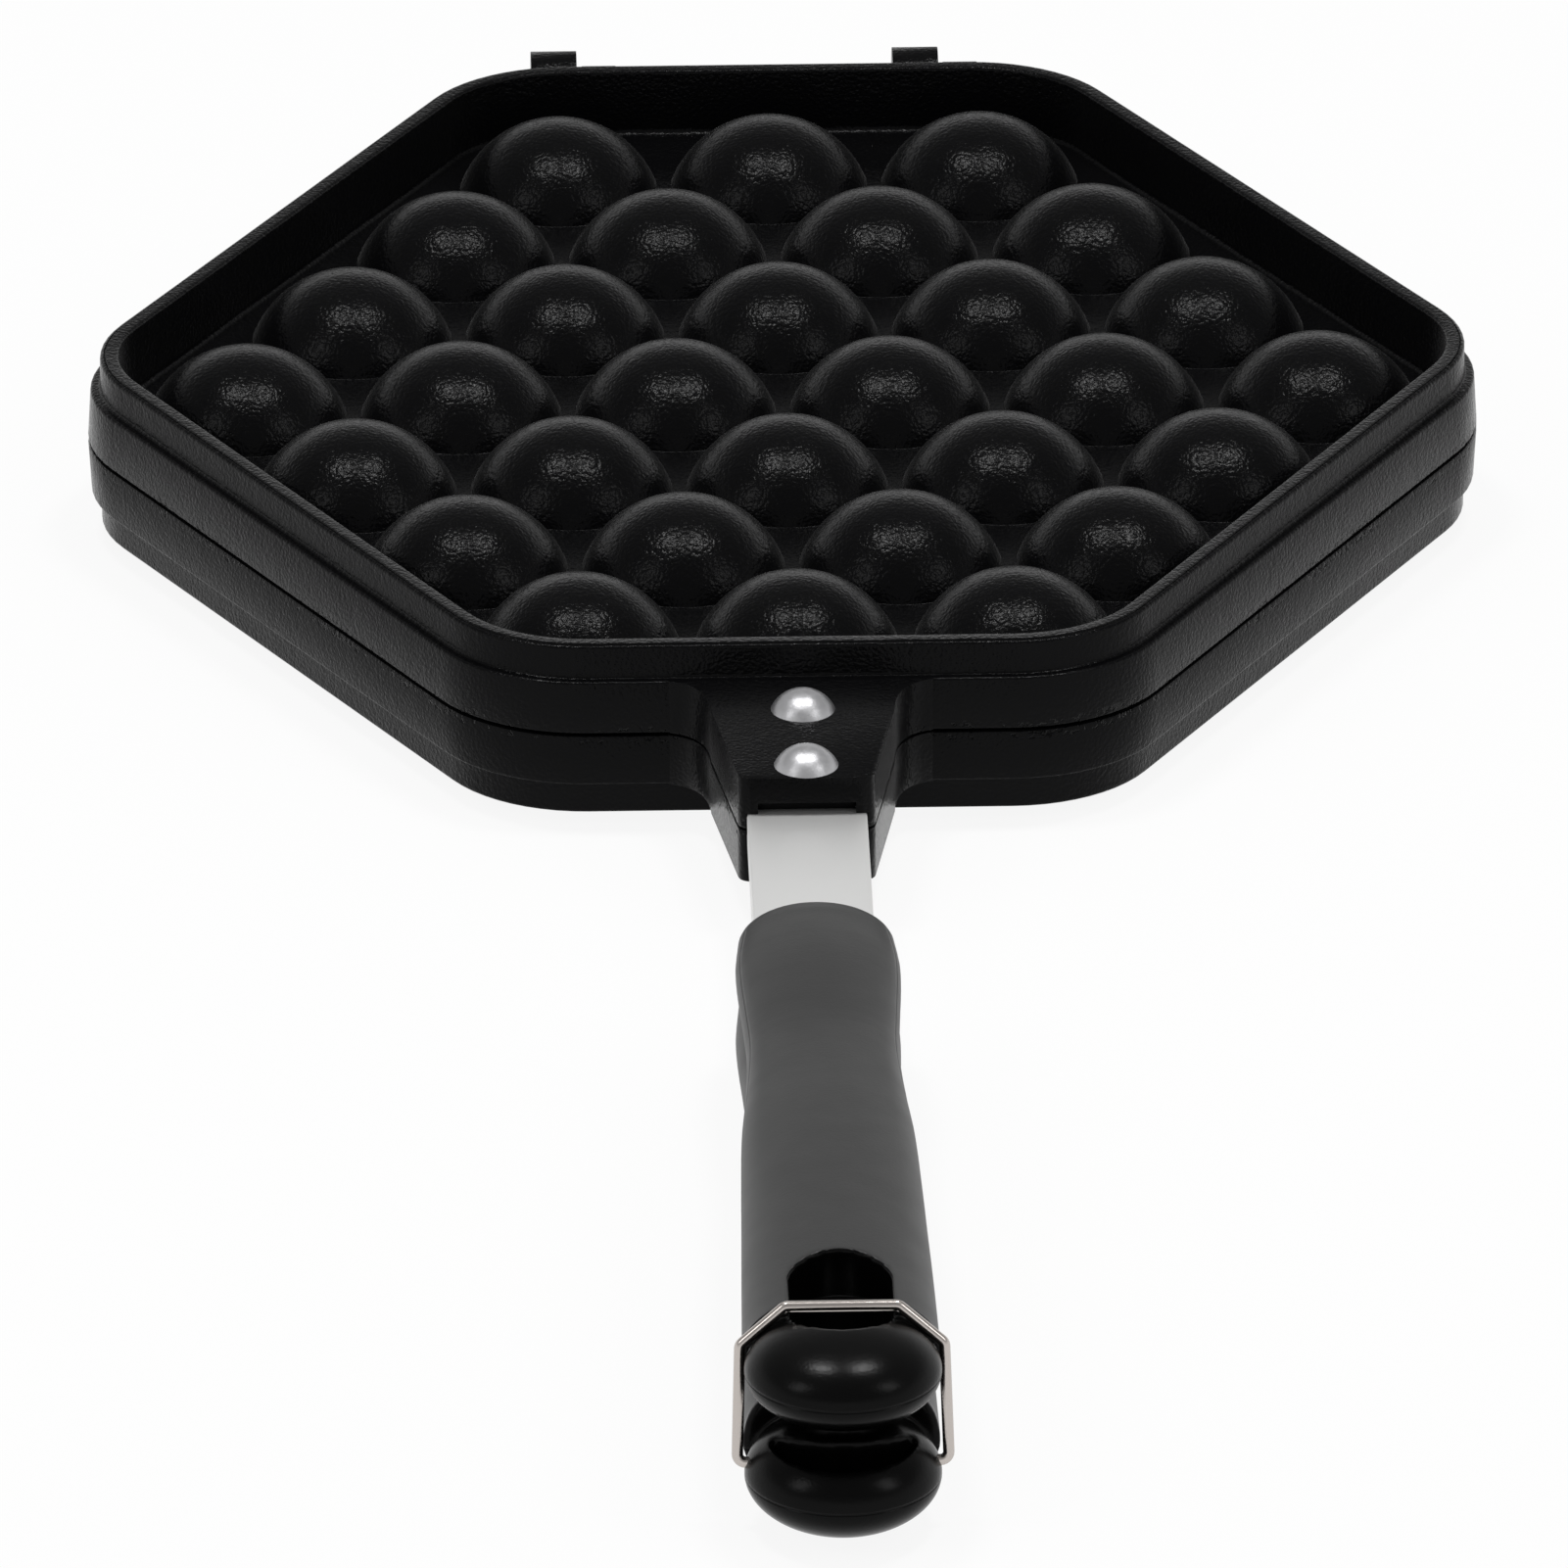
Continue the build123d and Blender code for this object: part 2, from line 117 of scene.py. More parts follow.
class HandleSizes(bpy.types.PropertyGroup):
    """Sizes of brackets, hinge, grips and latch wire. Distances run from the pan's near wall."""
    zero_y: length("Grip zero", "Depth of the grips' zero in front of the pan's centre", 91.03)
    wall_l: length("End wall", "Distance of the wall that ends the bar of a grip", 194.0)
    nose_l: length("Nose", "Distance of the grip's rear end", 66.5)
    mid_z: length("Widest height", "Height of the grip's widest line at its end", 6.3)
    edge: length("Lower corner", "Inset of the grip's mating side", 3.4)
    knob_r: length("Knob radius", "Plan radius of the knob", 12.0)
    knob_l: length("Knob distance", "Distance of the knob's centre", 200.4)
    knob_z: length("Knob height", "Height of the knob's seam", 6.9)
    upper_half_h: length("Upper knob", "Half height of the upper knob", 6.0)
    lower_half_h: length("Lower knob", "Half height of the lower knob", 6.7)
    shell: length("Shell", "Wall of the hollow end", 3.2)
    slot_r: length("Slot radius", "Half width of the hanging slot", 6.2)
    slot_back: length("Slot rear", "Distance of the slot's rear centre", 186.8)
    slot_front: length("Slot front", "Distance of the slot's front centre", 195.0)
    slot_wall_r: length("Slot wall", "Outer radius of the wall round the slot", 10.0)
    tang_w: length("Tang width", "Width of the steel strip", 15.2)
    tang_top: length("Tang top", "Upper side of the strip over the parting plane", 2.2)
    tang_t: length("Tang thickness", "Thickness of the strip", 2.0)
    tang_back: length("Tang rear", "Depth of the strip's rear end in front of the centre", 97.0)
    rivet_rear: length("Rear rivet", "Depth of the rear rivet in front of the centre", 102.6)
    rivet_front: length("Front rivet", "Depth of the front rivet in front of the centre", 119.4)
    rivet_tail: length("Rivet tail", "Radius of the flush tail", 3.2)
    rivet_shank: length("Rivet shank", "Radius of the shank", 2.2)
    screw_rear: length("Rear screw", "Distance of the rear grip screw", 84.0)
    screw_front: length("Front screw", "Distance of the front grip screw", 158.0)
    screw_head: length("Screw head", "Radius of the countersunk head", 3.6)
    screw_shank: length("Screw shank", "Radius of the screw", 2.0)
    tang_l: length("Tang end", "Distance of the strip's front end", 171.97)
    wire_r: length("Wire radius", "Radius of the latch wire", 0.7)
    wire_end_x: length("Wire end", "Inner end of the wire in the knob", 9.6)
    wire_leg_x: length("Wire leg", "Distance of a leg from the middle", 13.0)
    wire_bar_half: length("Wire bar", "Half length of the bar", 7.1)
    wire_bar_l: length("Wire bar distance", "Distance of the bar", 195.0)
    wire_bar_z: length("Wire bar height", "Height of the bar", 13.42)
    wire_shoulder_z: length("Wire shoulder", "Height of the shoulders", 8.62)
    pivot_drop: length("Wire pivot", "Depth of the wire's pivot under the parting plane", 5.7)
    hinge_y: length("Hinge distance", "Hinge line behind the pan's centre", 100.5)
    hinge_z: length("Hinge height", "Hinge line over the parting plane", 4.5)
    ear_r: length("Ear radius", "Tall ears of the lower half", 5.4)
    ear_w: length("Ear width", "Width of the tall ears", 6.1)
    knuckle_r: length("Knuckle radius", "Low knuckles of the upper half", 3.6)
    knuckle_w: length("Knuckle width", "Width of the low knuckles", 4.8)
    hinge_gap: length("Hinge gap", "Between an ear and its knuckle", 0.6)
    pin_r: length("Pin radius", "Hinge pins", 1.5)
    root_x: length("Bracket root", "Half width of the bracket at the flange", 16.8)
    neck_x: length("Bracket neck", "Half width where the flare ends", 11.7)
    neck_y: length("Bracket neck distance", "Depth of the neck in front of the centre", 103.0)
    front_x: length("Bracket front", "Half width of the bracket's front", 8.5)
    front_y: length("Bracket front distance", "Depth of the front in front of the centre", 123.4)


class FinishColours(bpy.types.PropertyGroup):
    """Base colours of the finishes."""
    coating: colour("Non-stick coating", "Black coating of the castings", "#060607")
    grip: colour("Phenolic, matt", "Moulded grips, textured bar", "#282828")
    knob: colour("Phenolic, polished", "Moulded grips, knobs", "#060606")
    tang: colour("Stainless strip", "Tangs", "#ECECEB")
    rivet: colour("Aluminium", "Rivets", "#BCBCBE")
    wire: colour("Nickel plate", "Latch wire", "#BFB8B3")
    pin: colour("Plain steel", "Pins and screws", "#A8A8A8")
    floor: colour("Floor", "Studio floor", "#F0F0F0")


# ---------------------------------------------------------------- material helpers

def add_node(tree, kind, links=(), **settings):
    """Adds a node, sets its properties and sockets, and links (output socket, input name) pairs."""
    node = tree.nodes.new(kind)
    for key, value in settings.items():
        if hasattr(node, key):
            setattr(node, key, value)
        else:
            node.inputs[key.replace("_", " ")].default_value = value
    for source, name in links:
        tree.links.new(source, node.inputs[name])
    return node


def calculate(tree, operation, *values):
    """Math node on numbers and outputs; returns its output."""
    node = tree.nodes.new("ShaderNodeMath")
    node.operation = operation
    for socket, value in zip(node.inputs, values):
        if isinstance(value, bpy.types.NodeSocket):
            tree.links.new(value, socket)
        else:
            socket.default_value = value
    return node.outputs[0]


def new_material(name):
    """Empty node material with its tree and shader."""
    material = bpy.data.materials.new(name)
    material.use_nodes = True
    tree = material.node_tree
    return material, tree, tree.nodes["Principled BSDF"]


def object_coordinates(tree, scale):
    """Object coordinates, stretched by a scale on each axis."""
    coords = add_node(tree, "ShaderNodeTexCoord")
    return add_node(tree, "ShaderNodeMapping", [(coords.outputs["Object"], "Vector")], Scale=scale)


def set_bump(tree, shader, height, strength, distance):
    """Bump from a height output."""
    bump = add_node(tree, "ShaderNodeBump", [(height, "Height")], Strength=strength, Distance=distance)
    tree.links.new(bump.outputs["Normal"], shader.inputs["Normal"])


def noise(tree, coords, millimetres, detail=2.0):
    """Noise whose features are this many millimetres wide."""
    return add_node(tree, "ShaderNodeTexNoise", [(coords, "Vector")], Scale=1 / (millimetres * MM), Detail=detail)


def rgba(colour_value):
    """Colour property as an RGBA list."""
    return list(colour_value) + [1.0]


def coated_aluminium(colours):
    """Sprayed and baked fluoropolymer coating on cast aluminium: near black and satin. Its low
    refractive index keeps it dark; a 0.5 mm orange peel breaks each highlight into sparkles, the
    sand-cast skin under it waves gently over a few millimetres, and casting pores show in a band
    of the outer wall next to the parting line. A trace of sheen stands for the dusty top of the spray."""
    material, tree, shader = new_material("sprayed_nonstick_coating")
    coords = object_coordinates(tree, (1, 1, 1)).outputs["Vector"]
    axes = add_node(tree, "ShaderNodeSeparateXYZ", [(coords, "Vector")])
    peel = noise(tree, coords, 0.5, 1.5).outputs["Fac"]
    skin = noise(tree, coords, 4.0, 4.0).outputs["Fac"]
    rough = add_node(tree, "ShaderNodeMapRange", [(peel, "Value")], To_Min=0.13, To_Max=0.31)
    tree.links.new(rough.outputs["Result"], shader.inputs["Roughness"])
    from_parting = calculate(tree, "ABSOLUTE", calculate(tree, "SUBTRACT", axes.outputs["Z"], PAN_CENTRE.z * MM))
    band = add_node(tree, "ShaderNodeMapRange", [(from_parting, "Value")], From_Min=0.6 * MM, From_Max=1.4 * MM, To_Min=1.0, To_Max=0.0)
    patches = noise(tree, coords, 9.0, 5.0).outputs["Fac"]
    pits = noise(tree, coords, 0.8, 2.0).outputs["Fac"]
    pocked = add_node(tree, "ShaderNodeMapRange", [(calculate(tree, "ADD", patches, pits), "Value")], From_Min=1.08, From_Max=1.16)
    pores = calculate(tree, "MULTIPLY", pocked.outputs["Result"], band.outputs["Result"])
    facing = add_node(tree, "ShaderNodeSeparateXYZ", [(tree.nodes.new("ShaderNodeTexCoord").outputs["Normal"], "Vector")])
    upright = calculate(tree, "LESS_THAN", calculate(tree, "ABSOLUTE", facing.outputs["Z"]), 0.5)
    pores = calculate(tree, "MULTIPLY", pores, upright)
    height = calculate(tree, "MULTIPLY_ADD", skin, 0.6, peel)
    height = calculate(tree, "MULTIPLY_ADD", pores, -3.5, height)
    set_bump(tree, shader, height, 1.0, 0.1 * MM)
    shader.inputs["Base Color"].default_value = rgba(colours.coating)
    shader.inputs["IOR"].default_value = 1.17
    shader.inputs["Sheen Weight"].default_value = 0.08
    shader.inputs["Sheen Roughness"].default_value = 0.3
    return material


def moulded_phenolic(colours, sizes):
    """Compression moulded phenolic: the bar is finely textured and matt, the knob in front of the
    end wall polished and darker, with the thin mould line at the height of its widest part."""
    end_wall_y = PAN_CENTRE.y - sizes.zero_y - sizes.wall_l
    material, tree, shader = new_material("moulded_phenolic")
    coords = object_coordinates(tree, (1, 1, 1)).outputs["Vector"]
    axes = add_node(tree, "ShaderNodeSeparateXYZ", [(coords, "Vector")])
    polished = add_node(tree, "ShaderNodeMapRange", [(axes.outputs["Y"], "Value")], interpolation_type="SMOOTHSTEP",
                        From_Min=(end_wall_y + 2.4) * MM, From_Max=(end_wall_y + 0.4) * MM)
    along = [axes.outputs["Y"]]
    for operation, distance in (("MAXIMUM", sizes.slot_front), ("MINIMUM", sizes.slot_back)):
        along.append(calculate(tree, operation, along[-1], (PAN_CENTRE.y - sizes.zero_y - distance) * MM))
    past = calculate(tree, "POWER", calculate(tree, "SUBTRACT", along[0], along[-1]), 2.0)
    from_slot = calculate(tree, "SQRT", calculate(tree, "ADD", past, calculate(tree, "POWER", axes.outputs["X"], 2.0)))
    slot_side = calculate(tree, "LESS_THAN", from_slot, (sizes.slot_r + 0.3) * MM)
    share = calculate(tree, "MAXIMUM", polished.outputs["Result"], slot_side)
    cloud = noise(tree, coords, 5.0, 4.0).outputs["Fac"]
    matt = add_node(tree, "ShaderNodeMapRange", [(cloud, "Value")], To_Min=0.40, To_Max=0.50)
    bright = add_node(tree, "ShaderNodeMapRange", [(cloud, "Value")], To_Min=0.20, To_Max=0.28)
    rough = add_node(tree, "ShaderNodeMix", [(share, 0), (matt.outputs["Result"], 2), (bright.outputs["Result"], 3)])
    tree.links.new(rough.outputs[0], shader.inputs["Roughness"])
    tint = add_node(tree, "ShaderNodeMix", [(share, 0)], data_type="RGBA")
    tint.inputs[6].default_value = rgba(colours.grip)
    tint.inputs[7].default_value = rgba(colours.knob)
    tree.links.new(tint.outputs[2], shader.inputs["Base Color"])
    height_in_half = calculate(tree, "ABSOLUTE", calculate(tree, "SUBTRACT", axes.outputs["Z"], PAN_CENTRE.z * MM))
    away = calculate(tree, "ABSOLUTE", calculate(tree, "SUBTRACT", height_in_half, sizes.knob_z * MM))
    line = add_node(tree, "ShaderNodeMapRange", [(away, "Value")],
                    From_Min=0.08 * MM, From_Max=0.22 * MM, To_Min=-9.0, To_Max=0.0)
    grain = noise(tree, coords, 0.4).outputs["Fac"]
    height = calculate(tree, "ADD", grain, line.outputs["Result"])
    set_bump(tree, shader, height, 0.6, 0.03 * MM)
    index = add_node(tree, "ShaderNodeMix", [(share, 0)])
    index.inputs[2].default_value, index.inputs[3].default_value = 1.40, 1.18
    tree.links.new(index.outputs[0], shader.inputs["IOR"])
    return material


def satin_metal(name, base, rough_low, rough_high, grain, bump):
    """Bare metal: an even tone whose gloss varies over grains of this size, with a faint relief."""
    material, tree, shader = new_material(name)
    coords = object_coordinates(tree, (1, 1, 1)).outputs["Vector"]
    grains = noise(tree, coords, grain, 3.0).outputs["Fac"]
    rough = add_node(tree, "ShaderNodeMapRange", [(grains, "Value")], To_Min=rough_low, To_Max=rough_high)
    tree.links.new(rough.outputs["Result"], shader.inputs["Roughness"])
    set_bump(tree, shader, grains, 0.3, bump * MM)
    shader.inputs["Base Color"].default_value = rgba(base)
    shader.inputs["Metallic"].default_value = 1.0
    return material


def blasted_stainless(colours):
    """Stainless strip, dull grey from bead blasting: a 0.25 mm grain and no rolling lines."""
    return satin_metal("blasted_stainless_strip", colours.tang, 0.50, 0.62, 0.25, 0.01)


def headed_aluminium(colours):
    """Cold headed aluminium rivet: satin, mottled over about a millimetre by the heading die."""
    return satin_metal("headed_aluminium", colours.rivet, 0.28, 0.52, 0.8, 0.12)


def nickel_wire(colours):
    """Nickel plated spring wire: warm and bright, with faint drawing marks."""
    return satin_metal("nickel_plated_wire", colours.wire, 0.16, 0.28, 0.6, 0.01)


def plain_steel(colours):
    """Turned steel of the pins and screws: mid grey, satin."""
    return satin_metal("turned_steel", colours.pin, 0.30, 0.42, 0.4, 0.01)


# ---------------------------------------------------------------- mesh helpers

def place(points, side):
    """Points in the pan's own millimetres to the shared frame in metres; the lower half is turned over."""
    return [(Vector((x, y, z * side)) + PAN_CENTRE) * MM for x, y, z in points]


def raw_object(name, bm):
    """Object in the scene from a bmesh, with its faces turned outward."""
    bmesh.ops.recalc_face_normals(bm, faces=bm.faces)
    mesh = bpy.data.meshes.new(name)
    bm.to_mesh(mesh)
    bm.free()
    obj = bpy.data.objects.new(name, mesh)
    bpy.context.scene.collection.objects.link(obj)
    return obj


def shade(obj, angle):
    """Smooth shading that keeps the edges sharper than this angle, in degrees; faces turned outward."""
    bm = bmesh.new()
    bm.from_mesh(obj.data)
    bmesh.ops.recalc_face_normals(bm, faces=bm.faces)
    bm.to_mesh(obj.data)
    bm.free()
    for polygon in obj.data.polygons:
        polygon.use_smooth = True
    obj.data.set_sharp_from_angle(angle=radians(angle))
    return obj


def tool(name, fill):
    """Helper solid made by a fill function."""
    bm = bmesh.new()
    fill(bm)
    return raw_object(name, bm)


def evaluated_copy(obj, name):
    """Plain object with all of obj's modifiers applied; obj and its mesh are removed."""
    graph = bpy.context.evaluated_depsgraph_get()
    mesh = bpy.data.meshes.new_from_object(obj.evaluated_get(graph))
    discard(obj)
    mesh.name = name
    copy = bpy.data.objects.new(name, mesh)
    bpy.context.scene.collection.objects.link(copy)
    return copy


def discard(obj):
    """Removes an object and its mesh."""
    mesh = obj.data
    bpy.data.objects.remove(obj)
    bpy.data.meshes.remove(mesh)


def hexagon_loop(sizes, step, z, arc_steps=10):
    """Rounded hexagon this far outside the lip, as points at one height."""
    row = sizes.pitch * sqrt(3) / 2
    near_y = 3 * row + sizes.lip_near + step
    slant = 2.5 * sizes.pitch * sin(pi / 3) + sizes.lip_slant + step
    side_x = slant / sin(pi / 3)
    end_x = (slant - near_y * cos(pi / 3)) / sin(pi / 3)
    corners = [(side_x, 0), (end_x, near_y), (-end_x, near_y), (-side_x, 0), (-end_x, -near_y), (end_x, -near_y)]
    radius = sizes.corner_r + step
    points = []
    for i, corner in enumerate(corners):
        here = Vector(corner)
        before = (Vector(corners[i - 1]) - here).normalized()
        after = (Vector(corners[(i + 1) % 6]) - here).normalized()
        middle = (before + after).normalized()
        half = before.angle(after) / 2
        centre = here + middle * (radius / sin(half))
        touch = here + before * (radius / tan(half)) - centre
        start = atan2(touch.y, touch.x)
        sweep = pi - 2 * half
        for k in range(arc_steps + 1):
            angle = start + sweep * k / arc_steps
            points.append((centre.x + radius * cos(angle), centre.y + radius * sin(angle), z))
    return points


def bridge(bm, loops, closed=True):
    """Quads between neighbouring loops of equal count."""
    for a, b in zip(loops, loops[1:]):
        count = len(a)
        for i in range(count if closed else count - 1):
            j = (i + 1) % count
            bm.faces.new((a[i], a[j], b[j], b[i]))


def fill_with_holes(bm, outer, holes):
    """Flat face between an outer loop and the loops of its holes."""
    edges = []
    for loop in [outer] + holes:
        for a, b in zip(loop, loop[1:] + loop[:1]):
            edges.append(bm.edges.get((a, b)) or bm.edges.new((a, b)))
    bmesh.ops.triangle_fill(bm, use_beauty=True, use_dissolve=False, edges=edges)


def ring(bm, centre, radius, z, side, count):
    """Loop of vertices on a circle."""
    points = [(centre[0] + radius * cos(2 * pi * i / count), centre[1] + radius * sin(2 * pi * i / count), z) for i in range(count)]
    return [bm.verts.new(p) for p in place(points, side)]


def cap(bm, centre, profile, side, count):
    """Round cap from its foot to its pole. The profile is (radius, height) pairs."""
    loops = [ring(bm, centre, r, z, side, count) for r, z in profile[:-1]]
    bridge(bm, loops)
    pole = bm.verts.new(place([(centre[0], centre[1], profile[-1][1])], side)[0])
    last = loops[-1]
    for i in range(count):
        bm.faces.new((last[i], last[(i + 1) % count], pole))


def cell_centres(pitch):
    """Centres of the thirty cells, in rows of 3, 4, 5, 6, 5, 4 and 3."""
    row = pitch * sqrt(3) / 2
    return [(pitch * (i - (5 - abs(j)) / 2), row * j) for j in range(-3, 4) for i in range(6 - abs(j))]


def cell_pattern_tree():
    """Geometry nodes that set a dome and a hollow on every cell of the hexagonal pattern and join
    them to the casting. The grid has a column every half pitch, so each row uses every other one."""
    tree = bpy.data.node_groups.new("cell_pattern", "GeometryNodeTree")
    face = tree.interface
    face.new_socket("Casting", in_out="INPUT", socket_type="NodeSocketGeometry")
    face.new_socket("Dome", in_out="INPUT", socket_type="NodeSocketObject")
    face.new_socket("Hollow", in_out="INPUT", socket_type="NodeSocketObject")
    face.new_socket("Pitch", in_out="INPUT", socket_type="NodeSocketFloat")
    face.new_socket("Longest row", in_out="INPUT", socket_type="NodeSocketInt")
    face.new_socket("Rows", in_out="INPUT", socket_type="NodeSocketInt")
    face.new_socket("Finish", in_out="INPUT", socket_type="NodeSocketMaterial")
    face.new_socket("Casting", in_out="OUTPUT", socket_type="NodeSocketGeometry")
    given = tree.nodes.new("NodeGroupInput").outputs
    half_pitch = calculate(tree, "DIVIDE", given["Pitch"], 2.0)
    row_pitch = calculate(tree, "MULTIPLY", given["Pitch"], sqrt(3) / 2)
    columns = calculate(tree, "SUBTRACT", calculate(tree, "MULTIPLY", given["Longest row"], 2.0), 1.0)
    width = calculate(tree, "MULTIPLY", calculate(tree, "SUBTRACT", columns, 1.0), half_pitch)
    depth = calculate(tree, "MULTIPLY", calculate(tree, "SUBTRACT", given["Rows"], 1.0), row_pitch)
    grid = add_node(tree, "GeometryNodeMeshGrid", [
        (width, "Size X"), (depth, "Size Y"), (columns, "Vertices X"), (given["Rows"], "Vertices Y")])
    position = add_node(tree, "GeometryNodeInputPosition")
    axes = add_node(tree, "ShaderNodeSeparateXYZ", [(position.outputs[0], 0)]).outputs
    column = calculate(tree, "ROUND", calculate(tree, "DIVIDE", axes["X"], half_pitch))
    row = calculate(tree, "ROUND", calculate(tree, "DIVIDE", axes["Y"], row_pitch))
    reach = calculate(tree, "ADD", calculate(tree, "ABSOLUTE", column), calculate(tree, "ABSOLUTE", row))
    inside = calculate(tree, "LESS_THAN", reach, given["Longest row"])
    odd = calculate(tree, "COMPARE", calculate(tree, "FLOORED_MODULO", calculate(tree, "ADD", column, row), 2.0), 1.0, 0.5)
    chosen = calculate(tree, "MULTIPLY", inside, odd)
    parts = [given["Casting"]]
    for name in ("Dome", "Hollow"):
        model = add_node(tree, "GeometryNodeObjectInfo", [(given[name], "Object")])
        spread = add_node(tree, "GeometryNodeInstanceOnPoints", [
            (grid.outputs["Mesh"], "Points"), (chosen, "Selection"), (model.outputs["Geometry"], "Instance")])
        parts.append(spread.outputs["Instances"])
    joined = tree.nodes.new("GeometryNodeJoinGeometry")
    for part in parts:
        tree.links.new(part, joined.inputs["Geometry"])
    real = add_node(tree, "GeometryNodeRealizeInstances", [(joined.outputs[0], "Geometry")])
    sealed = add_node(tree, "GeometryNodeMergeByDistance", [(real.outputs[0], "Geometry")], Distance=0.002 * MM)
    coated = add_node(tree, "GeometryNodeSetMaterial", [(sealed.outputs[0], "Geometry"), (given["Finish"], "Material")])
    tree.links.new(coated.outputs[0], tree.nodes.new("NodeGroupOutput").inputs["Casting"])
    return tree


def apply_nodes(obj, tree, name, **values):
    """Plain object made by a geometry nodes tree, whose inputs are set by their names."""
    modifier = obj.modifiers.new("pattern", "NODES")
    modifier.node_group = tree
    for item in tree.interface.items_tree:
        if item.in_out == "INPUT" and item.name in values:
            modifier[item.identifier] = values[item.name]
    return evaluated_copy(obj, name)


def dome_profile(sizes):
    """Outer side of a cell from its foot on the floor to its top."""
    rise = sizes.floor_z + sizes.foot_r + sizes.dome_drop
    reach = sqrt((sizes.dome_r + sizes.foot_r) ** 2 - rise ** 2)
    touch = atan2(reach, rise)
    profile = []
    for k in range(6):
        angle = touch * k / 6
        profile.append((reach - sizes.foot_r * sin(angle), sizes.floor_z + sizes.foot_r * (1 - cos(angle))))
    for k in range(15):
        angle = touch * (1 - k / 14)
        profile.append((sizes.dome_r * sin(angle), sizes.dome_r * cos(angle) - sizes.dome_drop))
    return profile


def hollow_profile(sizes):
    """Inner side of a cell from its rounded mouth to its top."""
    radius = sizes.hollow_r
    low = acos((sizes.web_z + sizes.hollow_drop) / radius)
    profile = [(radius * sin(low) + 0.35, sizes.web_z), (radius * sin(low) + 0.08, sizes.web_z + 0.12)]
    for k in range(12):
        angle = low * (0.97 - 0.97 * k / 11)
        profile.append((radius * sin(angle), radius * cos(angle) - sizes.hollow_drop))
    return profile


def rim_profile(sizes):
    """Section of the casting's rim from the basin floor round to the inner web: (step, height) pairs."""
    wall_in = -sizes.lip_w
    edge = sizes.lip_edge
    points = []
    for k in range(5):
        angle = pi / 2 * k / 4
        points.append((wall_in - sizes.basin_r * (1 - sin(angle)), sizes.floor_z + sizes.basin_r * (1 - cos(angle))))
    for k in range(4):
        angle = pi / 2 * k / 3
        points.append((wall_in + edge * (1 - cos(angle)), sizes.rim_z - edge * (1 - sin(angle))))
    groove = sizes.lip_groove
    points += [(-edge - groove, sizes.rim_z), (-edge - groove / 2, sizes.rim_z - groove), (-edge, sizes.rim_z - groove / 2)]
    for k in range(1, 4):
        angle = pi / 2 * k / 3
        points.append((-edge * (1 - sin(angle)), sizes.rim_z - groove / 2 - edge * (1 - cos(angle))))
    root = 0.4
    for k in range(4):
        angle = pi / 2 * k / 3
        points.append((root * (1 - cos(angle)), sizes.ledge_z + root * (1 - sin(angle))))
    for k in range(4):
        angle = pi / 2 * k / 3
        points.append((sizes.ledge_step - root * (1 - sin(angle)), sizes.ledge_z - root * (1 - cos(angle))))
    points.append((sizes.parting_step, sizes.gap + 0.4))
    points.append((sizes.parting_step - 0.12, sizes.gap + 0.12))
    points.append((sizes.parting_step - 0.4, sizes.gap))
    points.append((-4.0, sizes.gap))
    points.append((-4.2, sizes.gap + 0.2))
    points.append((-4.2, sizes.web_z))
    return points


def casting(name, side, sizes, material):
    """One half of the pan: rim, floor, domes and the hollows behind them, one closed skin."""
    centres = cell_centres(sizes.pitch)
    outer, inner = dome_profile(sizes), hollow_profile(sizes)
    bm = bmesh.new()
    loops = [[bm.verts.new(p) for p in place(hexagon_loop(sizes, step, z), side)] for step, z in rim_profile(sizes)]
    bridge(bm, loops)
    for loop, (radius, z), count in ((loops[0], outer[0], DOME_POINTS), (loops[-1], inner[0], HOLLOW_POINTS)):
        fill_with_holes(bm, loop, [ring(bm, centre, radius, z, side, count) for centre in centres])
    rim = raw_object(name + "_rim", bm)
    dome = tool(name + "_dome", lambda b: cap(b, (0, 0), outer, side, DOME_POINTS))
    hollow = tool(name + "_hollow", lambda b: cap(b, (0, 0), inner, side, HOLLOW_POINTS))
    values = {"Dome": dome, "Hollow": hollow, "Pitch": sizes.pitch * MM, "Longest row": 6, "Rows": 7, "Finish": material}
    skin = apply_nodes(rim, cell_pattern_tree(), name, **values)
    discard(dome)
    discard(hollow)
    return shade(skin, 35)


# ---------------------------------------------------------------- grips

# along a grip: distance, half width, height of the top
GRIP_FORM = (
    (78.0, 9.9, 10.1), (84.0, 10.3, 10.6), (91.0, 10.2, 10.9), (99.0, 9.85, 10.9), (110.0, 9.5, 10.8),
    (122.0, 9.95, 11.3), (134.0, 10.7, 12.0), (148.0, 11.1, 12.6), (162.0, 11.4, 13.0), (178.0, 11.75, 13.35), (194.0, 12.0, 13.6),
)


def smooth_stations(step):
    """Stations of the bar, at most this far apart, on a smooth curve through the grip's form."""
    last = len(GRIP_FORM) - 1
    forms = [Vector(form) for form in GRIP_FORM]
    slopes = []
    for i in range(last + 1):
        before, after = forms[max(0, i - 1)], forms[min(last, i + 1)]
        slopes.append((after - before) / (after.x - before.x))
    stations = []
    for i in range(last):
        reach = forms[i + 1].x - forms[i].x
        parts = max(1, round(reach / step))
        for k in range(parts):
            t = k / parts
            near = forms[i] * (1 + 2 * t) + slopes[i] * (reach * t)
            far = forms[i + 1] * (3 - 2 * t) - slopes[i + 1] * (reach * (1 - t))
            form = near * (1 - t) ** 2 + far * t ** 2
            stations.append((form.x, form.y, form.z))
    return stations + [GRIP_FORM[-1]]


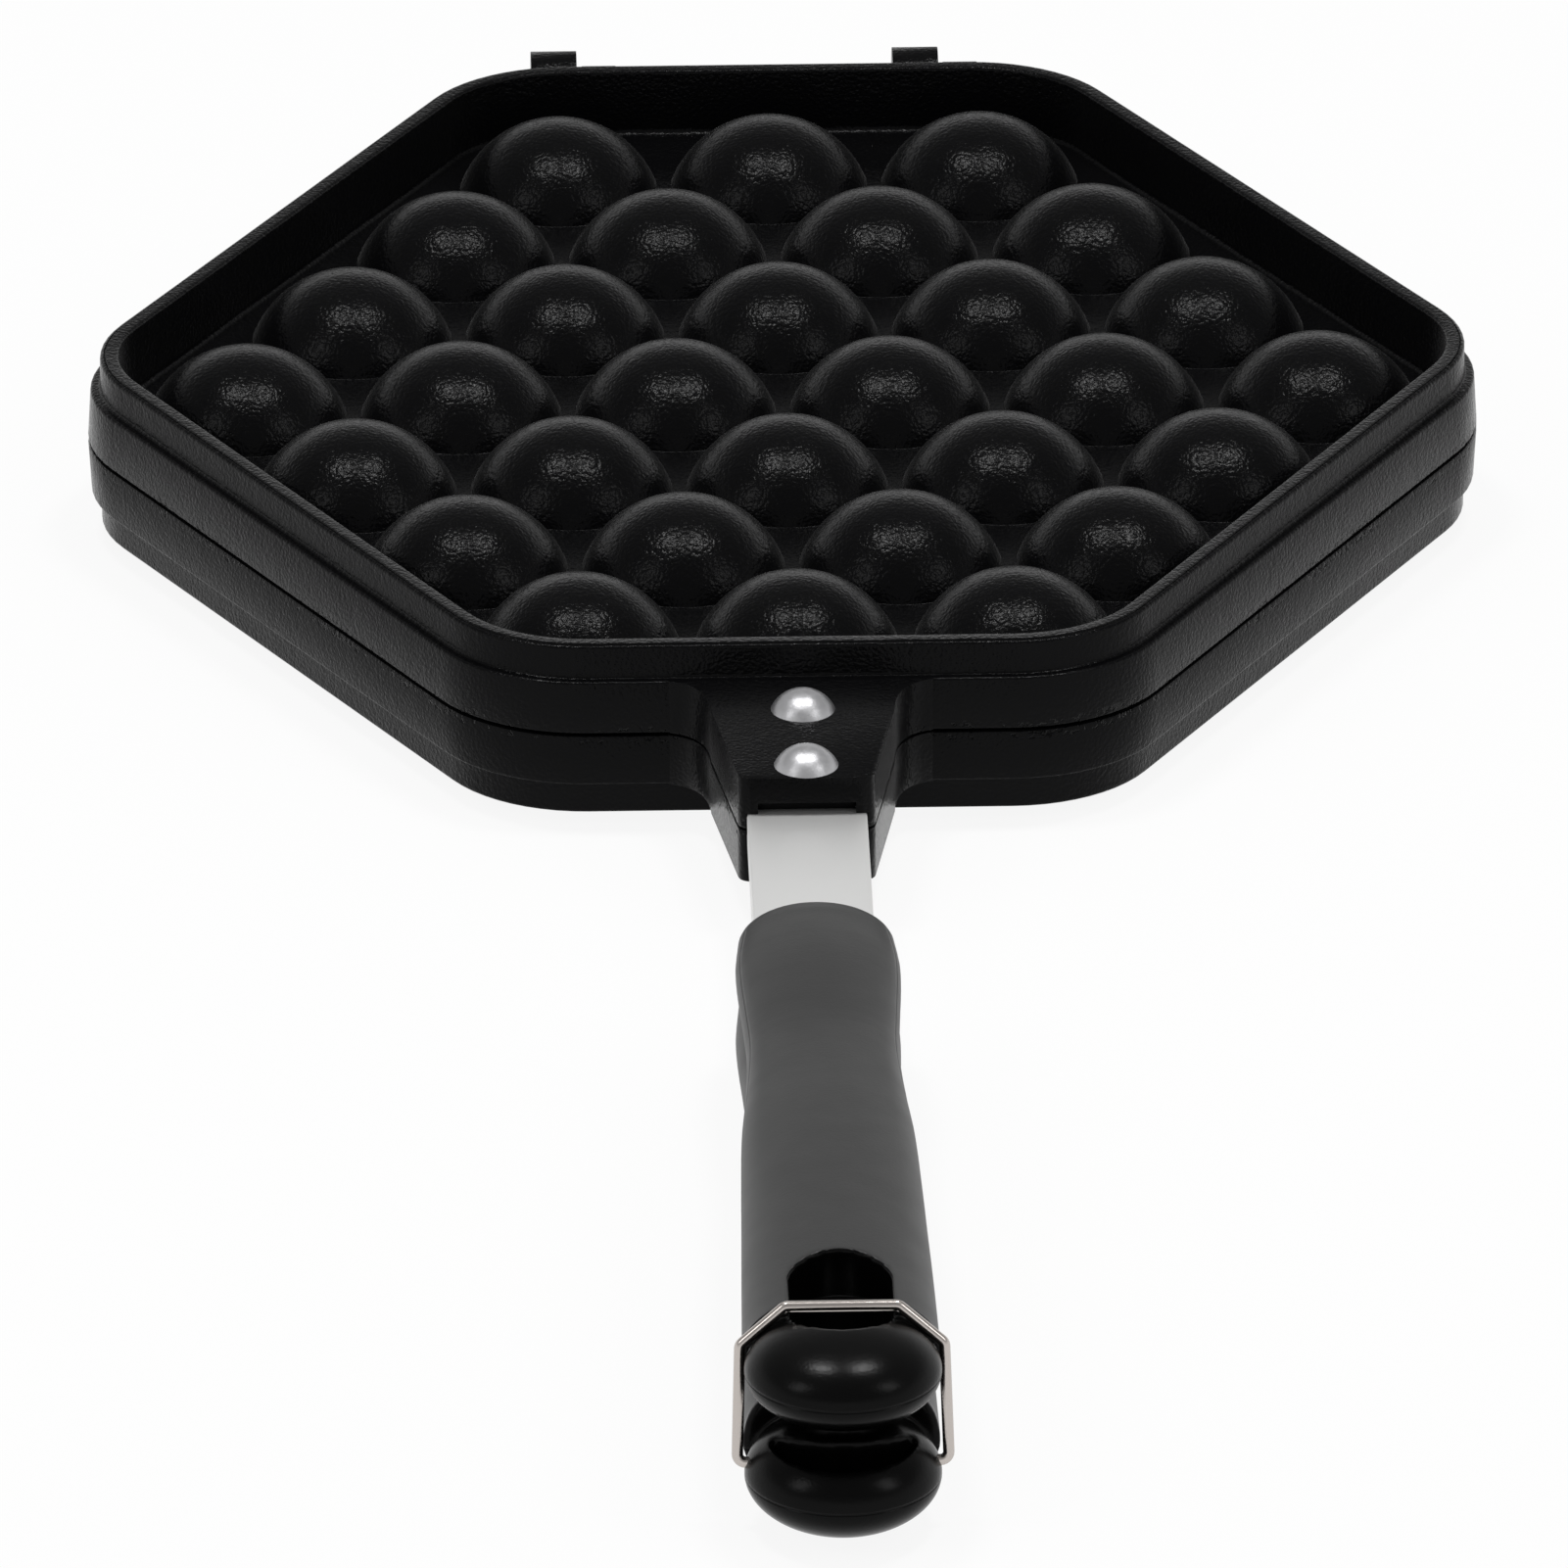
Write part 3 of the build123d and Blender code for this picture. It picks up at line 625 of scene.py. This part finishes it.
def nose_stations(sizes, steps):
    """Stations of the rounded nose, which swells like a quarter ellipse."""
    start_l, start_w, start_top = GRIP_FORM[0]
    stations = []
    for i in range(1, steps):
        angle = pi / 2 * i / steps
        stations.append((start_l - (start_l - sizes.nose_l) * cos(angle), start_w * sin(angle), start_top * sin(angle)))
    return stations


def grip_section(sizes, gap, station):
    """Section of a grip as a loop of points: flat mating side, rounded corners, oval top."""
    distance, half_w, top = station
    y = -sizes.zero_y - distance
    side_h = gap + (sizes.mid_z - gap) * top / GRIP_FORM[-1][2]
    foot = half_w * (1 - sizes.edge / sizes.knob_r)
    right = []
    for k in range(8):
        angle = pi / 2 * k / 8
        right.append((foot + (half_w - foot) * sin(angle), side_h - (side_h - gap) * cos(angle)))
    for k in range(16):
        angle = pi / 2 * k / 16
        right.append((half_w * cos(angle), side_h + (top - side_h) * sin(angle)))
    loop = right + [(0.0, top)] + [(-x, z) for x, z in reversed(right)]
    return [(x, y, z) for x, z in loop]


def loft(bm, loops, side):
    """Closed skin through loops of points."""
    verts = [[bm.verts.new(p) for p in place(loop, side)] for loop in loops]
    bridge(bm, verts)
    bm.faces.new(verts[0])
    bm.faces.new(verts[-1])


def spheroid(bm, centre, radius, half_h, side, count=96, rows=40):
    """Oblate knob."""
    loops = []
    for k in range(1, rows):
        angle = pi * k / rows
        loops.append((radius * sin(angle), centre[2] + half_h * cos(angle)))
    verts = [ring(bm, centre, r, z, side, count) for r, z in loops]
    bridge(bm, verts)
    for loop, z in ((verts[0], centre[2] + half_h), (verts[-1], centre[2] - half_h)):
        pole = bm.verts.new(place([(centre[0], centre[1], z)], side)[0])
        for i in range(count):
            bm.faces.new((loop[i], loop[(i + 1) % count], pole))


def obround(bm, radius, y_front, y_back, z_low, z_high, side, steps=32):
    """Upright prism on a slot-shaped outline."""
    outline = []
    for k in range(steps + 1):
        angle = pi * k / steps
        outline.append((radius * cos(angle), y_back + radius * sin(angle)))
    for k in range(steps + 1):
        angle = pi + pi * k / steps
        outline.append((radius * cos(angle), y_front + radius * sin(angle)))
    loft(bm, [[(x, y, z) for x, y in outline] for z in (z_low, z_high)], side)


def block(bm, half_x, y_low, y_high, z_low, z_high, side):
    """Box, symmetric about X = 0."""
    outline = ((half_x, y_low), (half_x, y_high), (-half_x, y_high), (-half_x, y_low))
    loft(bm, [[(x, y, z) for x, y in outline] for z in (z_low, z_high)], side)


def carve(base, steps):
    """Boolean steps on a base: (operation, tool) pairs, applied in order."""
    for operation, helper in steps:
        modifier = base.modifiers.new(helper.name, "BOOLEAN")
        modifier.operation = operation
        modifier.solver = "EXACT"
        modifier.object = helper
    shaped = evaluated_copy(base, base.name + "_carved")
    for _, helper in steps:
        discard(helper)
    return shaped


def moulded(obj, name, voxel, rounds, material):
    """Skin of a moulded piece: one even mesh over the carved form, its edges slightly rounded."""
    remesh = obj.modifiers.new("skin", "REMESH")
    remesh.mode = "VOXEL"
    remesh.voxel_size = voxel * MM
    remesh.use_smooth_shade = True
    ease = obj.modifiers.new("ease", "SMOOTH")
    ease.factor = 0.5
    ease.iterations = rounds
    skin = evaluated_copy(obj, name)
    skin.data.materials.clear()
    skin.data.materials.append(material)
    for polygon in skin.data.polygons:
        polygon.use_smooth = True
    return skin


def grip(name, side, sizes, gap, material):
    """Grip with its hollow knob, its hanging slot and the channel of the tang."""
    half_h = sizes.upper_half_h if side == UPPER else sizes.lower_half_h
    knob_y = -sizes.zero_y - sizes.knob_l
    slot_y = (-sizes.zero_y - sizes.slot_front, -sizes.zero_y - sizes.slot_back)
    inner = sizes.knob_r - sizes.shell
    ceiling = sizes.knob_z + half_h - sizes.shell
    reach = 20.0
    stations = nose_stations(sizes, 10) + smooth_stations(2.5)
    base = tool(name, lambda bm: loft(bm, [grip_section(sizes, gap, s) for s in stations], side))
    hollow = tool("hollow", lambda bm: obround(bm, inner, knob_y, knob_y + 0.01, -reach, ceiling, side))
    wall = tool("slot_wall", lambda bm: obround(bm, sizes.slot_wall_r, *slot_y, -reach, reach, side))
    steps = [
        ("UNION", tool("knob", lambda bm: spheroid(bm, (0, knob_y, sizes.knob_z), sizes.knob_r, half_h, side))),
        ("DIFFERENCE", carve(hollow, [("DIFFERENCE", wall)])),
        ("DIFFERENCE", tool("channel", lambda bm: block(bm, sizes.tang_w / 2 + 0.3, -sizes.zero_y - sizes.tang_l - 0.2, -sizes.zero_y, -reach, sizes.tang_top + 0.1, side))),
        ("DIFFERENCE", tool("slot", lambda bm: obround(bm, sizes.slot_r, *slot_y, -reach, reach, side))),
    ]
    return moulded(carve(base, steps), name, 0.34, 4, material)


# ---------------------------------------------------------------- brackets and hinge

def bracket_outline(sizes, flange_y):
    """Right half of the bracket's plan, from the flange to the front, with its concave flare."""
    root = Vector((sizes.root_x, -flange_y))
    neck = Vector((sizes.neck_x, -sizes.neck_y))
    points = [(sizes.root_x + 2.0, -flange_y + 2.5)]
    bulge = Vector((sizes.neck_x + 0.2, -flange_y - 1.2))
    for k in range(11):
        t = k / 10
        p = root * (1 - t) ** 2 + bulge * 2 * t * (1 - t) + neck * t ** 2
        points.append((p.x, p.y))
    corner = 1.6
    taper = (Vector((sizes.front_x, -sizes.front_y)) - neck).normalized()
    start = Vector((sizes.front_x, -sizes.front_y)) - taper * corner
    end = Vector((sizes.front_x - corner, -sizes.front_y))
    middle = Vector((sizes.front_x, -sizes.front_y))
    for k in range(7):
        t = k / 6
        p = start * (1 - t) ** 2 + middle * 2 * t * (1 - t) + end * t ** 2
        points.append((p.x, p.y))
    return points


def mirrored_outline(sizes, flange_y):
    """Whole plan of the bracket."""
    right = bracket_outline(sizes, flange_y)
    return right + [(-x, y) for x, y in reversed(right)]


def bevelled(obj, width, segments=3, angle=30):
    """Rounded edges by a live bevel that is applied at once."""
    bevel = obj.modifiers.new("edges", "BEVEL")
    bevel.width = width * MM
    bevel.segments = segments
    bevel.limit_method = "ANGLE"
    bevel.angle_limit = radians(angle)
    bevel.harden_normals = True
    name = obj.name
    obj.name = name + "_raw"
    return evaluated_copy(obj, name)


def bracket(name, side, pan, sizes, material):
    """Handle bracket that flares out of the flange; the channel under it takes the tang."""
    flange_y = 3 * pan.pitch * sqrt(3) / 2 + pan.lip_near + pan.parting_step
    draft = pan.parting_step - pan.ledge_step
    levels = ((flange_y, pan.gap), (flange_y, pan.gap + 0.4), (flange_y - draft, pan.ledge_z + 0.02))
    bm = bmesh.new()
    loft(bm, [[(x, y, z) for x, y in mirrored_outline(sizes, y_root)] for y_root, z in levels], side)
    obj = raw_object(name, bm)
    obj.data.materials.append(material)
    channel = tool("channel", lambda b: block(b, sizes.tang_w / 2 + 0.1, -sizes.zero_y - 60, -97.0, -5.0, sizes.tang_top, side))
    relief = tool("relief", lambda b: block(b, 6.2, -sizes.front_y - 1.0, -sizes.front_y + 1.4, 0.0, sizes.tang_top + 1.5, side))
    cut = carve(obj, [("DIFFERENCE", channel), ("DIFFERENCE", relief)])
    cut.name = name
    return shade(bevelled(cut, 0.7), 40)


def hinge_plate(bm, sizes, x_low, x_high, outline, hole_r, side):
    """Upright plate across X with a pin hole: an outline in (Y, Z), filled and thickened."""
    loops = []
    count = 32
    for x in (x_low, x_high):
        rim = [bm.verts.new(p) for p in place([(x, y, z) for y, z in outline], side)]
        eye = [bm.verts.new(p) for p in place([(x, sizes.hinge_y + hole_r * cos(2 * pi * k / count), side * sizes.hinge_z + hole_r * sin(2 * pi * k / count)) for k in range(count)], side)]
        fill_with_holes(bm, rim, [eye])
        loops.append((rim, eye))
    for a, b in zip(*loops):
        bridge(bm, [a, b])


def arc(centre, radius, start, end, steps):
    """Points on an arc, angles in degrees."""
    return [(centre[0] + radius * cos(radians(start + (end - start) * k / steps)), centre[1] + radius * sin(radians(start + (end - start) * k / steps))) for k in range(steps + 1)]


def ear_outline(pan, sizes, flange_in):
    """Tall ear, drawn turned over as its half is: round eye, straight back and rounded heel."""
    back = sizes.hinge_y + sizes.ear_r
    low = pan.ledge_z - 0.4
    outline = arc((sizes.hinge_y, -sizes.hinge_z), sizes.ear_r, 180, 360, 24)
    outline += arc((back - 3.0, low - 3.0), 3.0, 0, 90, 8)
    return outline + [(flange_in, low), (flange_in, pan.gap), (sizes.hinge_y - sizes.ear_r, pan.gap)]


def knuckle_outline(pan, sizes, flange_in):
    """Low knuckle: a round eye on an arm out of the flange."""
    top = pan.ledge_z - 0.4
    eye = arc((sizes.hinge_y, sizes.hinge_z), sizes.knuckle_r, -90, 48, 20)
    return eye + [(sizes.hinge_y, top), (flange_in, top), (flange_in, sizes.hinge_z - sizes.knuckle_r)]


def hinge_pieces(name, side, pan, sizes, material):
    """Tall ears of the lower half, or low knuckles of the upper half."""
    flange_in = 3 * pan.pitch * sqrt(3) / 2 + pan.lip_near
    bm = bmesh.new()
    for left in EAR_LEFT_X:
        if side == LOWER:
            hinge_plate(bm, sizes, left, left + sizes.ear_w, ear_outline(pan, sizes, flange_in), sizes.pin_r, side)
        else:
            low = left + sizes.ear_w + sizes.hinge_gap
            outline = knuckle_outline(pan, sizes, flange_in)
            hinge_plate(bm, sizes, low, low + sizes.knuckle_w, outline, sizes.pin_r + 0.05, side)
    obj = raw_object(name, bm)
    obj.data.materials.append(material)
    return shade(bevelled(obj, 0.8), 40)


# ---------------------------------------------------------------- tangs

def rounded_rectangle(half_x, y_low, y_high, radius, steps=8):
    """Outline of a rectangle with round corners, symmetric about X = 0."""
    outline = []
    for x, y, start in ((half_x, y_high, 0), (-half_x, y_high, 90), (-half_x, y_low, 180), (half_x, y_low, 270)):
        centre = (x - radius if x > 0 else x + radius, y - radius if y == y_high else y + radius)
        outline += arc(centre, radius, start, start + 90, steps)
    return outline


def tang(name, side, sizes, material):
    """Steel strip with rounded edges, and the countersunk holes of its rivets and screws."""
    bottom = sizes.tang_top - sizes.tang_t
    y_low, y_high = -sizes.zero_y - sizes.tang_l, -sizes.tang_back
    edge = 0.35
    count = 32
    bm = bmesh.new()
    loops = []
    for inset, z in ((edge, bottom), (0.1, bottom + 0.1), (0, bottom + edge), (0, sizes.tang_top - edge), (0.1, sizes.tang_top - 0.1), (edge, sizes.tang_top)):
        outline = rounded_rectangle(sizes.tang_w / 2 - inset, y_low + inset, y_high - inset, sizes.tang_t)
        loops.append([bm.verts.new(p) for p in place([(x, y, z) for x, y in outline], side)])
    bridge(bm, loops)
    holes = [(-y, sizes.rivet_tail, sizes.rivet_shank) for y in (sizes.rivet_rear, sizes.rivet_front)]
    holes += [(-sizes.zero_y - l, sizes.screw_head, sizes.screw_shank) for l in (sizes.screw_rear, sizes.screw_front)]
    wide = [ring(bm, (0, y), r, bottom, side, count) for y, r, _ in holes]
    narrow = [ring(bm, (0, y), r, sizes.tang_top, side, count) for y, _, r in holes]
    for a, b in zip(wide, narrow):
        bridge(bm, [a, b])
    fill_with_holes(bm, loops[0], wide)
    fill_with_holes(bm, loops[-1], narrow)
    obj = raw_object(name, bm)
    obj.data.materials.append(material)
    return shade(obj, 40)


# ---------------------------------------------------------------- latch wire

def wire_points(sizes, bend_steps=6):
    """Centre line of the latch wire in its own flat plane: (across, up) pairs with rounded bends."""
    pivot = Vector((0, -sizes.zero_y - sizes.knob_l, -sizes.pivot_drop))
    bar = Vector((0, -sizes.zero_y - sizes.wire_bar_l, sizes.wire_bar_z))
    lean = (bar - pivot).normalized()
    tall = (bar - pivot).length
    shoulder = tall * (sizes.wire_shoulder_z + sizes.pivot_drop) / (sizes.wire_bar_z + sizes.pivot_drop)
    right = [(sizes.wire_end_x, 0), (sizes.wire_leg_x, 0), (sizes.wire_leg_x, shoulder), (sizes.wire_bar_half, tall)]
    corners = [Vector(c) for c in right + [(-x, up) for x, up in reversed(right)]]
    bends = (1.2, 1.6, 1.6, 1.6, 1.6, 1.2)
    flat = [corners[0]]
    for before, here, after, radius in zip(corners, corners[1:], corners[2:], bends):
        inward, outward = (before - here).normalized(), (after - here).normalized()
        half = inward.angle(outward) / 2
        centre = here + (inward + outward).normalized() * (radius / sin(half))
        start, end = here + inward * (radius / tan(half)) - centre, here + outward * (radius / tan(half)) - centre
        for k in range(bend_steps + 1):
            flat.append(centre + (start.slerp(end, k / bend_steps)))
    flat.append(corners[-1])
    points = [pivot + Vector((x, 0, 0)) + lean * up for x, up in flat]
    return points, lean.cross(Vector((1, 0, 0)))


def tube(bm, points, normal, radius, count=20):
    """Round bar with flat ends along points in a plane with this normal."""
    loops = []
    for i, point in enumerate(points):
        along = (points[min(i + 1, len(points) - 1)] - points[max(i - 1, 0)]).normalized()
        across = along.cross(normal)
        turns = [2 * pi * k / count for k in range(count)]
        loops.append([tuple(point + (across * cos(t) + normal * sin(t)) * radius) for t in turns])
    loft(bm, loops, UPPER)


def latch(name, sizes, material):
    """Bent wire: two turned-in ends, two legs, two shoulders and the bar."""
    points, normal = wire_points(sizes)
    wire = tool(name, lambda bm: tube(bm, points, normal, sizes.wire_r))
    wire.data.materials.append(material)
    return shade(wire, 50)


# ---------------------------------------------------------------- operators

FINISHES = {}
HALVES = (("upper", UPPER, "upper_half"), ("lower", LOWER, "lower_half"))


def dress(obj, body):
    """The piece rides on a body."""
    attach(obj, body)


class WAFFLE_OT_finishes(bpy.types.Operator):
    """Make the finishes and put them on the CAD pieces that stay"""
    bl_idname = "waffle.finishes"
    bl_label = "Finishes"

    def execute(self, context):
        colours = context.scene.waffle_colours
        made = {
            "pan_coating": coated_aluminium(colours),
            "grip_phenolic": moulded_phenolic(colours, in_mm(context.scene.waffle_handle)),
            "tang_steel": blasted_stainless(colours),
            "rivet_aluminium": headed_aluminium(colours),
            "wire_steel": nickel_wire(colours),
            "pin_steel": plain_steel(colours),
        }
        FINISHES.update(made)
        for part in frame["record"]["subparts"]:
            for slot in frame["nodes"][part["node"]].material_slots:
                slot.material = made[part["material_slot"]]
        return {"FINISHED"}


class WAFFLE_OT_castings(bpy.types.Operator):
    """Make the two halves of the pan with smooth domes"""
    bl_idname = "waffle.castings"
    bl_label = "Castings"

    def execute(self, context):
        sizes = in_mm(context.scene.waffle_sizes)
        for word, side, body in HALVES:
            obj = casting(word + "_casting", side, sizes, FINISHES["pan_coating"])
            dress(obj, body)
            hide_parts(word + "_pan")
        return {"FINISHED"}


class WAFFLE_OT_brackets(bpy.types.Operator):
    """Make the handle brackets of both castings"""
    bl_idname = "waffle.brackets"
    bl_label = "Handle brackets"

    def execute(self, context):
        pan, sizes = in_mm(context.scene.waffle_sizes), in_mm(context.scene.waffle_handle)
        for word, side, body in HALVES:
            obj = bracket(word + "_bracket", side, pan, sizes, FINISHES["pan_coating"])
            dress(obj, body)
        return {"FINISHED"}


class WAFFLE_OT_tangs(bpy.types.Operator):
    """Make the steel strips between brackets and grips"""
    bl_idname = "waffle.tangs"
    bl_label = "Tangs"

    def execute(self, context):
        sizes = in_mm(context.scene.waffle_handle)
        for word, side, body in HALVES:
            obj = tang(word + "_strip", side, sizes, FINISHES["tang_steel"])
            dress(obj, body)
            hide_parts(word + "_tang")
        return {"FINISHED"}


class WAFFLE_OT_hinge(bpy.types.Operator):
    """Make the tall ears and the low knuckles"""
    bl_idname = "waffle.hinge"
    bl_label = "Hinge"

    def execute(self, context):
        pan, sizes = in_mm(context.scene.waffle_sizes), in_mm(context.scene.waffle_handle)
        for word, side, body in HALVES:
            obj = hinge_pieces(word + "_hinge", side, pan, sizes, FINISHES["pan_coating"])
            dress(obj, body)
        return {"FINISHED"}


class WAFFLE_OT_grips(bpy.types.Operator):
    """Make the two moulded grips"""
    bl_idname = "waffle.grips"
    bl_label = "Grips"

    def execute(self, context):
        pan, sizes = in_mm(context.scene.waffle_sizes), in_mm(context.scene.waffle_handle)
        for word, side, body in HALVES:
            obj = grip(word + "_moulding", side, sizes, pan.gap, FINISHES["grip_phenolic"])
            dress(obj, body)
            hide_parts(word + "_grip")
        return {"FINISHED"}


class WAFFLE_OT_latch(bpy.types.Operator):
    """Make the latch wire with smooth bends"""
    bl_idname = "waffle.latch"
    bl_label = "Latch wire"

    def execute(self, context):
        obj = latch("bent_wire", in_mm(context.scene.waffle_handle), FINISHES["wire_steel"])
        dress(obj, "latch")
        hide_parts("latch_wire")
        return {"FINISHED"}


class WAFFLE_OT_stage(bpy.types.Operator):
    """Make the floor, the lamps, the world and the camera"""
    bl_idname = "waffle.stage"
    bl_label = "Studio"

    def execute(self, context):
        build_floor(context.scene.waffle_colours)
        build_lights()
        build_camera()
        return {"FINISHED"}


# ---------------------------------------------------------------- studio

def seen_directly(tree):
    """1 for camera, glossy and transmission rays, 0 for the rays that light the object."""
    rays = add_node(tree, "ShaderNodeLightPath").outputs
    seen = calculate(tree, "MAXIMUM", rays["Is Camera Ray"], rays["Is Glossy Ray"])
    return calculate(tree, "MAXIMUM", seen, rays["Is Transmission Ray"])


def build_floor(colours):
    """Large pale floor. Camera, glossy and transmission rays see most of it as plain white, and the
    rest of it stays a lit surface, which keeps the object's shadow."""
    half = 6.0
    bm = bmesh.new()
    bm.faces.new([bm.verts.new((x, y, 0)) for x, y in ((-half, -half), (half, -half), (half, half), (-half, half))])
    floor = raw_object("floor", bm)
    material, tree, shader = new_material("studio_floor")
    shader.inputs["Base Color"].default_value = rgba(colours.floor)
    shader.inputs["Roughness"].default_value = 0.9
    white = add_node(tree, "ShaderNodeEmission", Strength=1.0)
    share = calculate(tree, "MULTIPLY", seen_directly(tree), 0.9)
    mix = add_node(tree, "ShaderNodeMixShader", [(share, 0), (shader.outputs[0], 1), (white.outputs[0], 2)])
    tree.links.new(mix.outputs[0], tree.nodes["Material Output"].inputs["Surface"])
    floor.data.materials.append(material)


def area_light(name, place_at, aim, width, height, power):
    """Soft box that faces a point."""
    data = bpy.data.lights.new(name, "AREA")
    data.shape = "RECTANGLE"
    data.size = width
    data.size_y = height
    data.energy = power
    lamp = bpy.data.objects.new(name, data)
    lamp.location = place_at
    lamp.rotation_euler = (Vector(aim) - Vector(place_at)).to_track_quat("-Z", "Y").to_euler()
    bpy.context.scene.collection.objects.link(lamp)


def build_lights():
    """White surroundings, dimmed, with a white backdrop round the horizon that only reflections
    see; a pair of soft boxes overhead, which gives each dome its twin
    highlight, and a weaker pair in front that draws the lobes low on domes and knobs."""
    world = bpy.data.worlds.new("studio")
    bpy.context.scene.world = world
    world.use_nodes = True
    tree = world.node_tree
    background = tree.nodes["Background"]
    background.inputs["Color"].default_value = (1, 1, 1, 1)
    direction = add_node(tree, "ShaderNodeSeparateXYZ", [(tree.nodes.new("ShaderNodeTexCoord").outputs["Generated"], "Vector")])
    backdrop = add_node(tree, "ShaderNodeMapRange", [(direction.outputs["Z"], "Value")],
                        From_Min=0.2, From_Max=0.46, To_Min=1.0, To_Max=0.38)
    level = add_node(tree, "ShaderNodeMix", [(seen_directly(tree), 0), (backdrop.outputs["Result"], 3)])
    level.inputs[2].default_value = 0.38
    tree.links.new(level.outputs[0], background.inputs["Strength"])
    middle = (0, 0, 0)
    for side in (-1, 1):
        area_light("top_box", (0.28 * side, 0.08, 1.3), middle, 0.15, 0.25, 5.0)
        area_light("front_box", (0.95 * side, -0.6, 1.0), middle, 0.35, 0.5, 1.9)


def build_camera():
    """Camera at the photograph's view: a long lens, a quarter from above, over the grips."""
    azimuth, elevation, roll = radians(-1.371), radians(24.308), radians(-0.158)
    distance, focal_px, image_px = 3.523, 27524.0, 1601.0
    centre_px = (799.2, 437.3)
    back = Vector((sin(azimuth) * cos(elevation), -cos(azimuth) * cos(elevation), sin(elevation)))
    data = bpy.data.cameras.new("photo_camera")
    data.sensor_fit = "AUTO"
    data.sensor_width = 36.0
    data.lens = 36.0 * focal_px / image_px
    data.clip_end = 50.0
    camera = bpy.data.objects.new("photo_camera", data)
    location = PAN_CENTRE * MM + back * distance
    right = Vector((cos(azimuth), sin(azimuth), 0))
    up = back.cross(right)
    basis = Matrix((right, up, back)).transposed()
    turn = Matrix.Rotation(roll, 3, "Z")
    off_x = atan2(centre_px[0] - image_px / 2, focal_px)
    off_y = atan2(image_px / 2 - centre_px[1], focal_px)
    tilt = Matrix.Rotation(-off_y, 3, "X") @ Matrix.Rotation(off_x, 3, "Y")
    rotation = basis @ turn @ tilt
    camera.matrix_world = Matrix.Translation(location) @ rotation.to_4x4()
    bpy.context.scene.collection.objects.link(camera)
    bpy.context.scene.camera = camera


# ---------------------------------------------------------------- panel and registration

class WAFFLE_PT_panel(bpy.types.Panel):
    """Lists the steps that dress the pan"""
    bl_idname = "WAFFLE_PT_panel"
    bl_label = "Egg waffle pan"
    bl_space_type = "VIEW_3D"
    bl_region_type = "UI"
    bl_category = "Waffle Pan"

    def draw(self, context):
        for name in ("finishes", "castings", "brackets", "tangs", "hinge", "grips", "latch", "stage"):
            self.layout.operator("waffle." + name)


CLASSES = (
    PanSizes,
    HandleSizes,
    FinishColours,
    WAFFLE_OT_finishes,
    WAFFLE_OT_castings,
    WAFFLE_OT_brackets,
    WAFFLE_OT_tangs,
    WAFFLE_OT_hinge,
    WAFFLE_OT_grips,
    WAFFLE_OT_latch,
    WAFFLE_OT_stage,
    WAFFLE_PT_panel,
)


def register():
    """Registers the classes and the property groups."""
    for cls in CLASSES:
        bpy.utils.register_class(cls)
    bpy.types.Scene.waffle_sizes = bpy.props.PointerProperty(type=PanSizes)
    bpy.types.Scene.waffle_handle = bpy.props.PointerProperty(type=HandleSizes)
    bpy.types.Scene.waffle_colours = bpy.props.PointerProperty(type=FinishColours)


def unregister():
    """Takes them off again."""
    del bpy.types.Scene.waffle_colours
    del bpy.types.Scene.waffle_handle
    del bpy.types.Scene.waffle_sizes
    for cls in reversed(CLASSES):
        bpy.utils.unregister_class(cls)


def main():
    """Dresses the frame, one operator after the other."""
    register()
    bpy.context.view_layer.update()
    bpy.context.scene.view_settings.view_transform = "Standard"
    bpy.ops.waffle.finishes()
    bpy.ops.waffle.castings()
    bpy.ops.waffle.brackets()
    bpy.ops.waffle.tangs()
    bpy.ops.waffle.hinge()
    bpy.ops.waffle.grips()
    bpy.ops.waffle.latch()
    bpy.ops.waffle.stage()


if __name__ == "__main__":
    main()
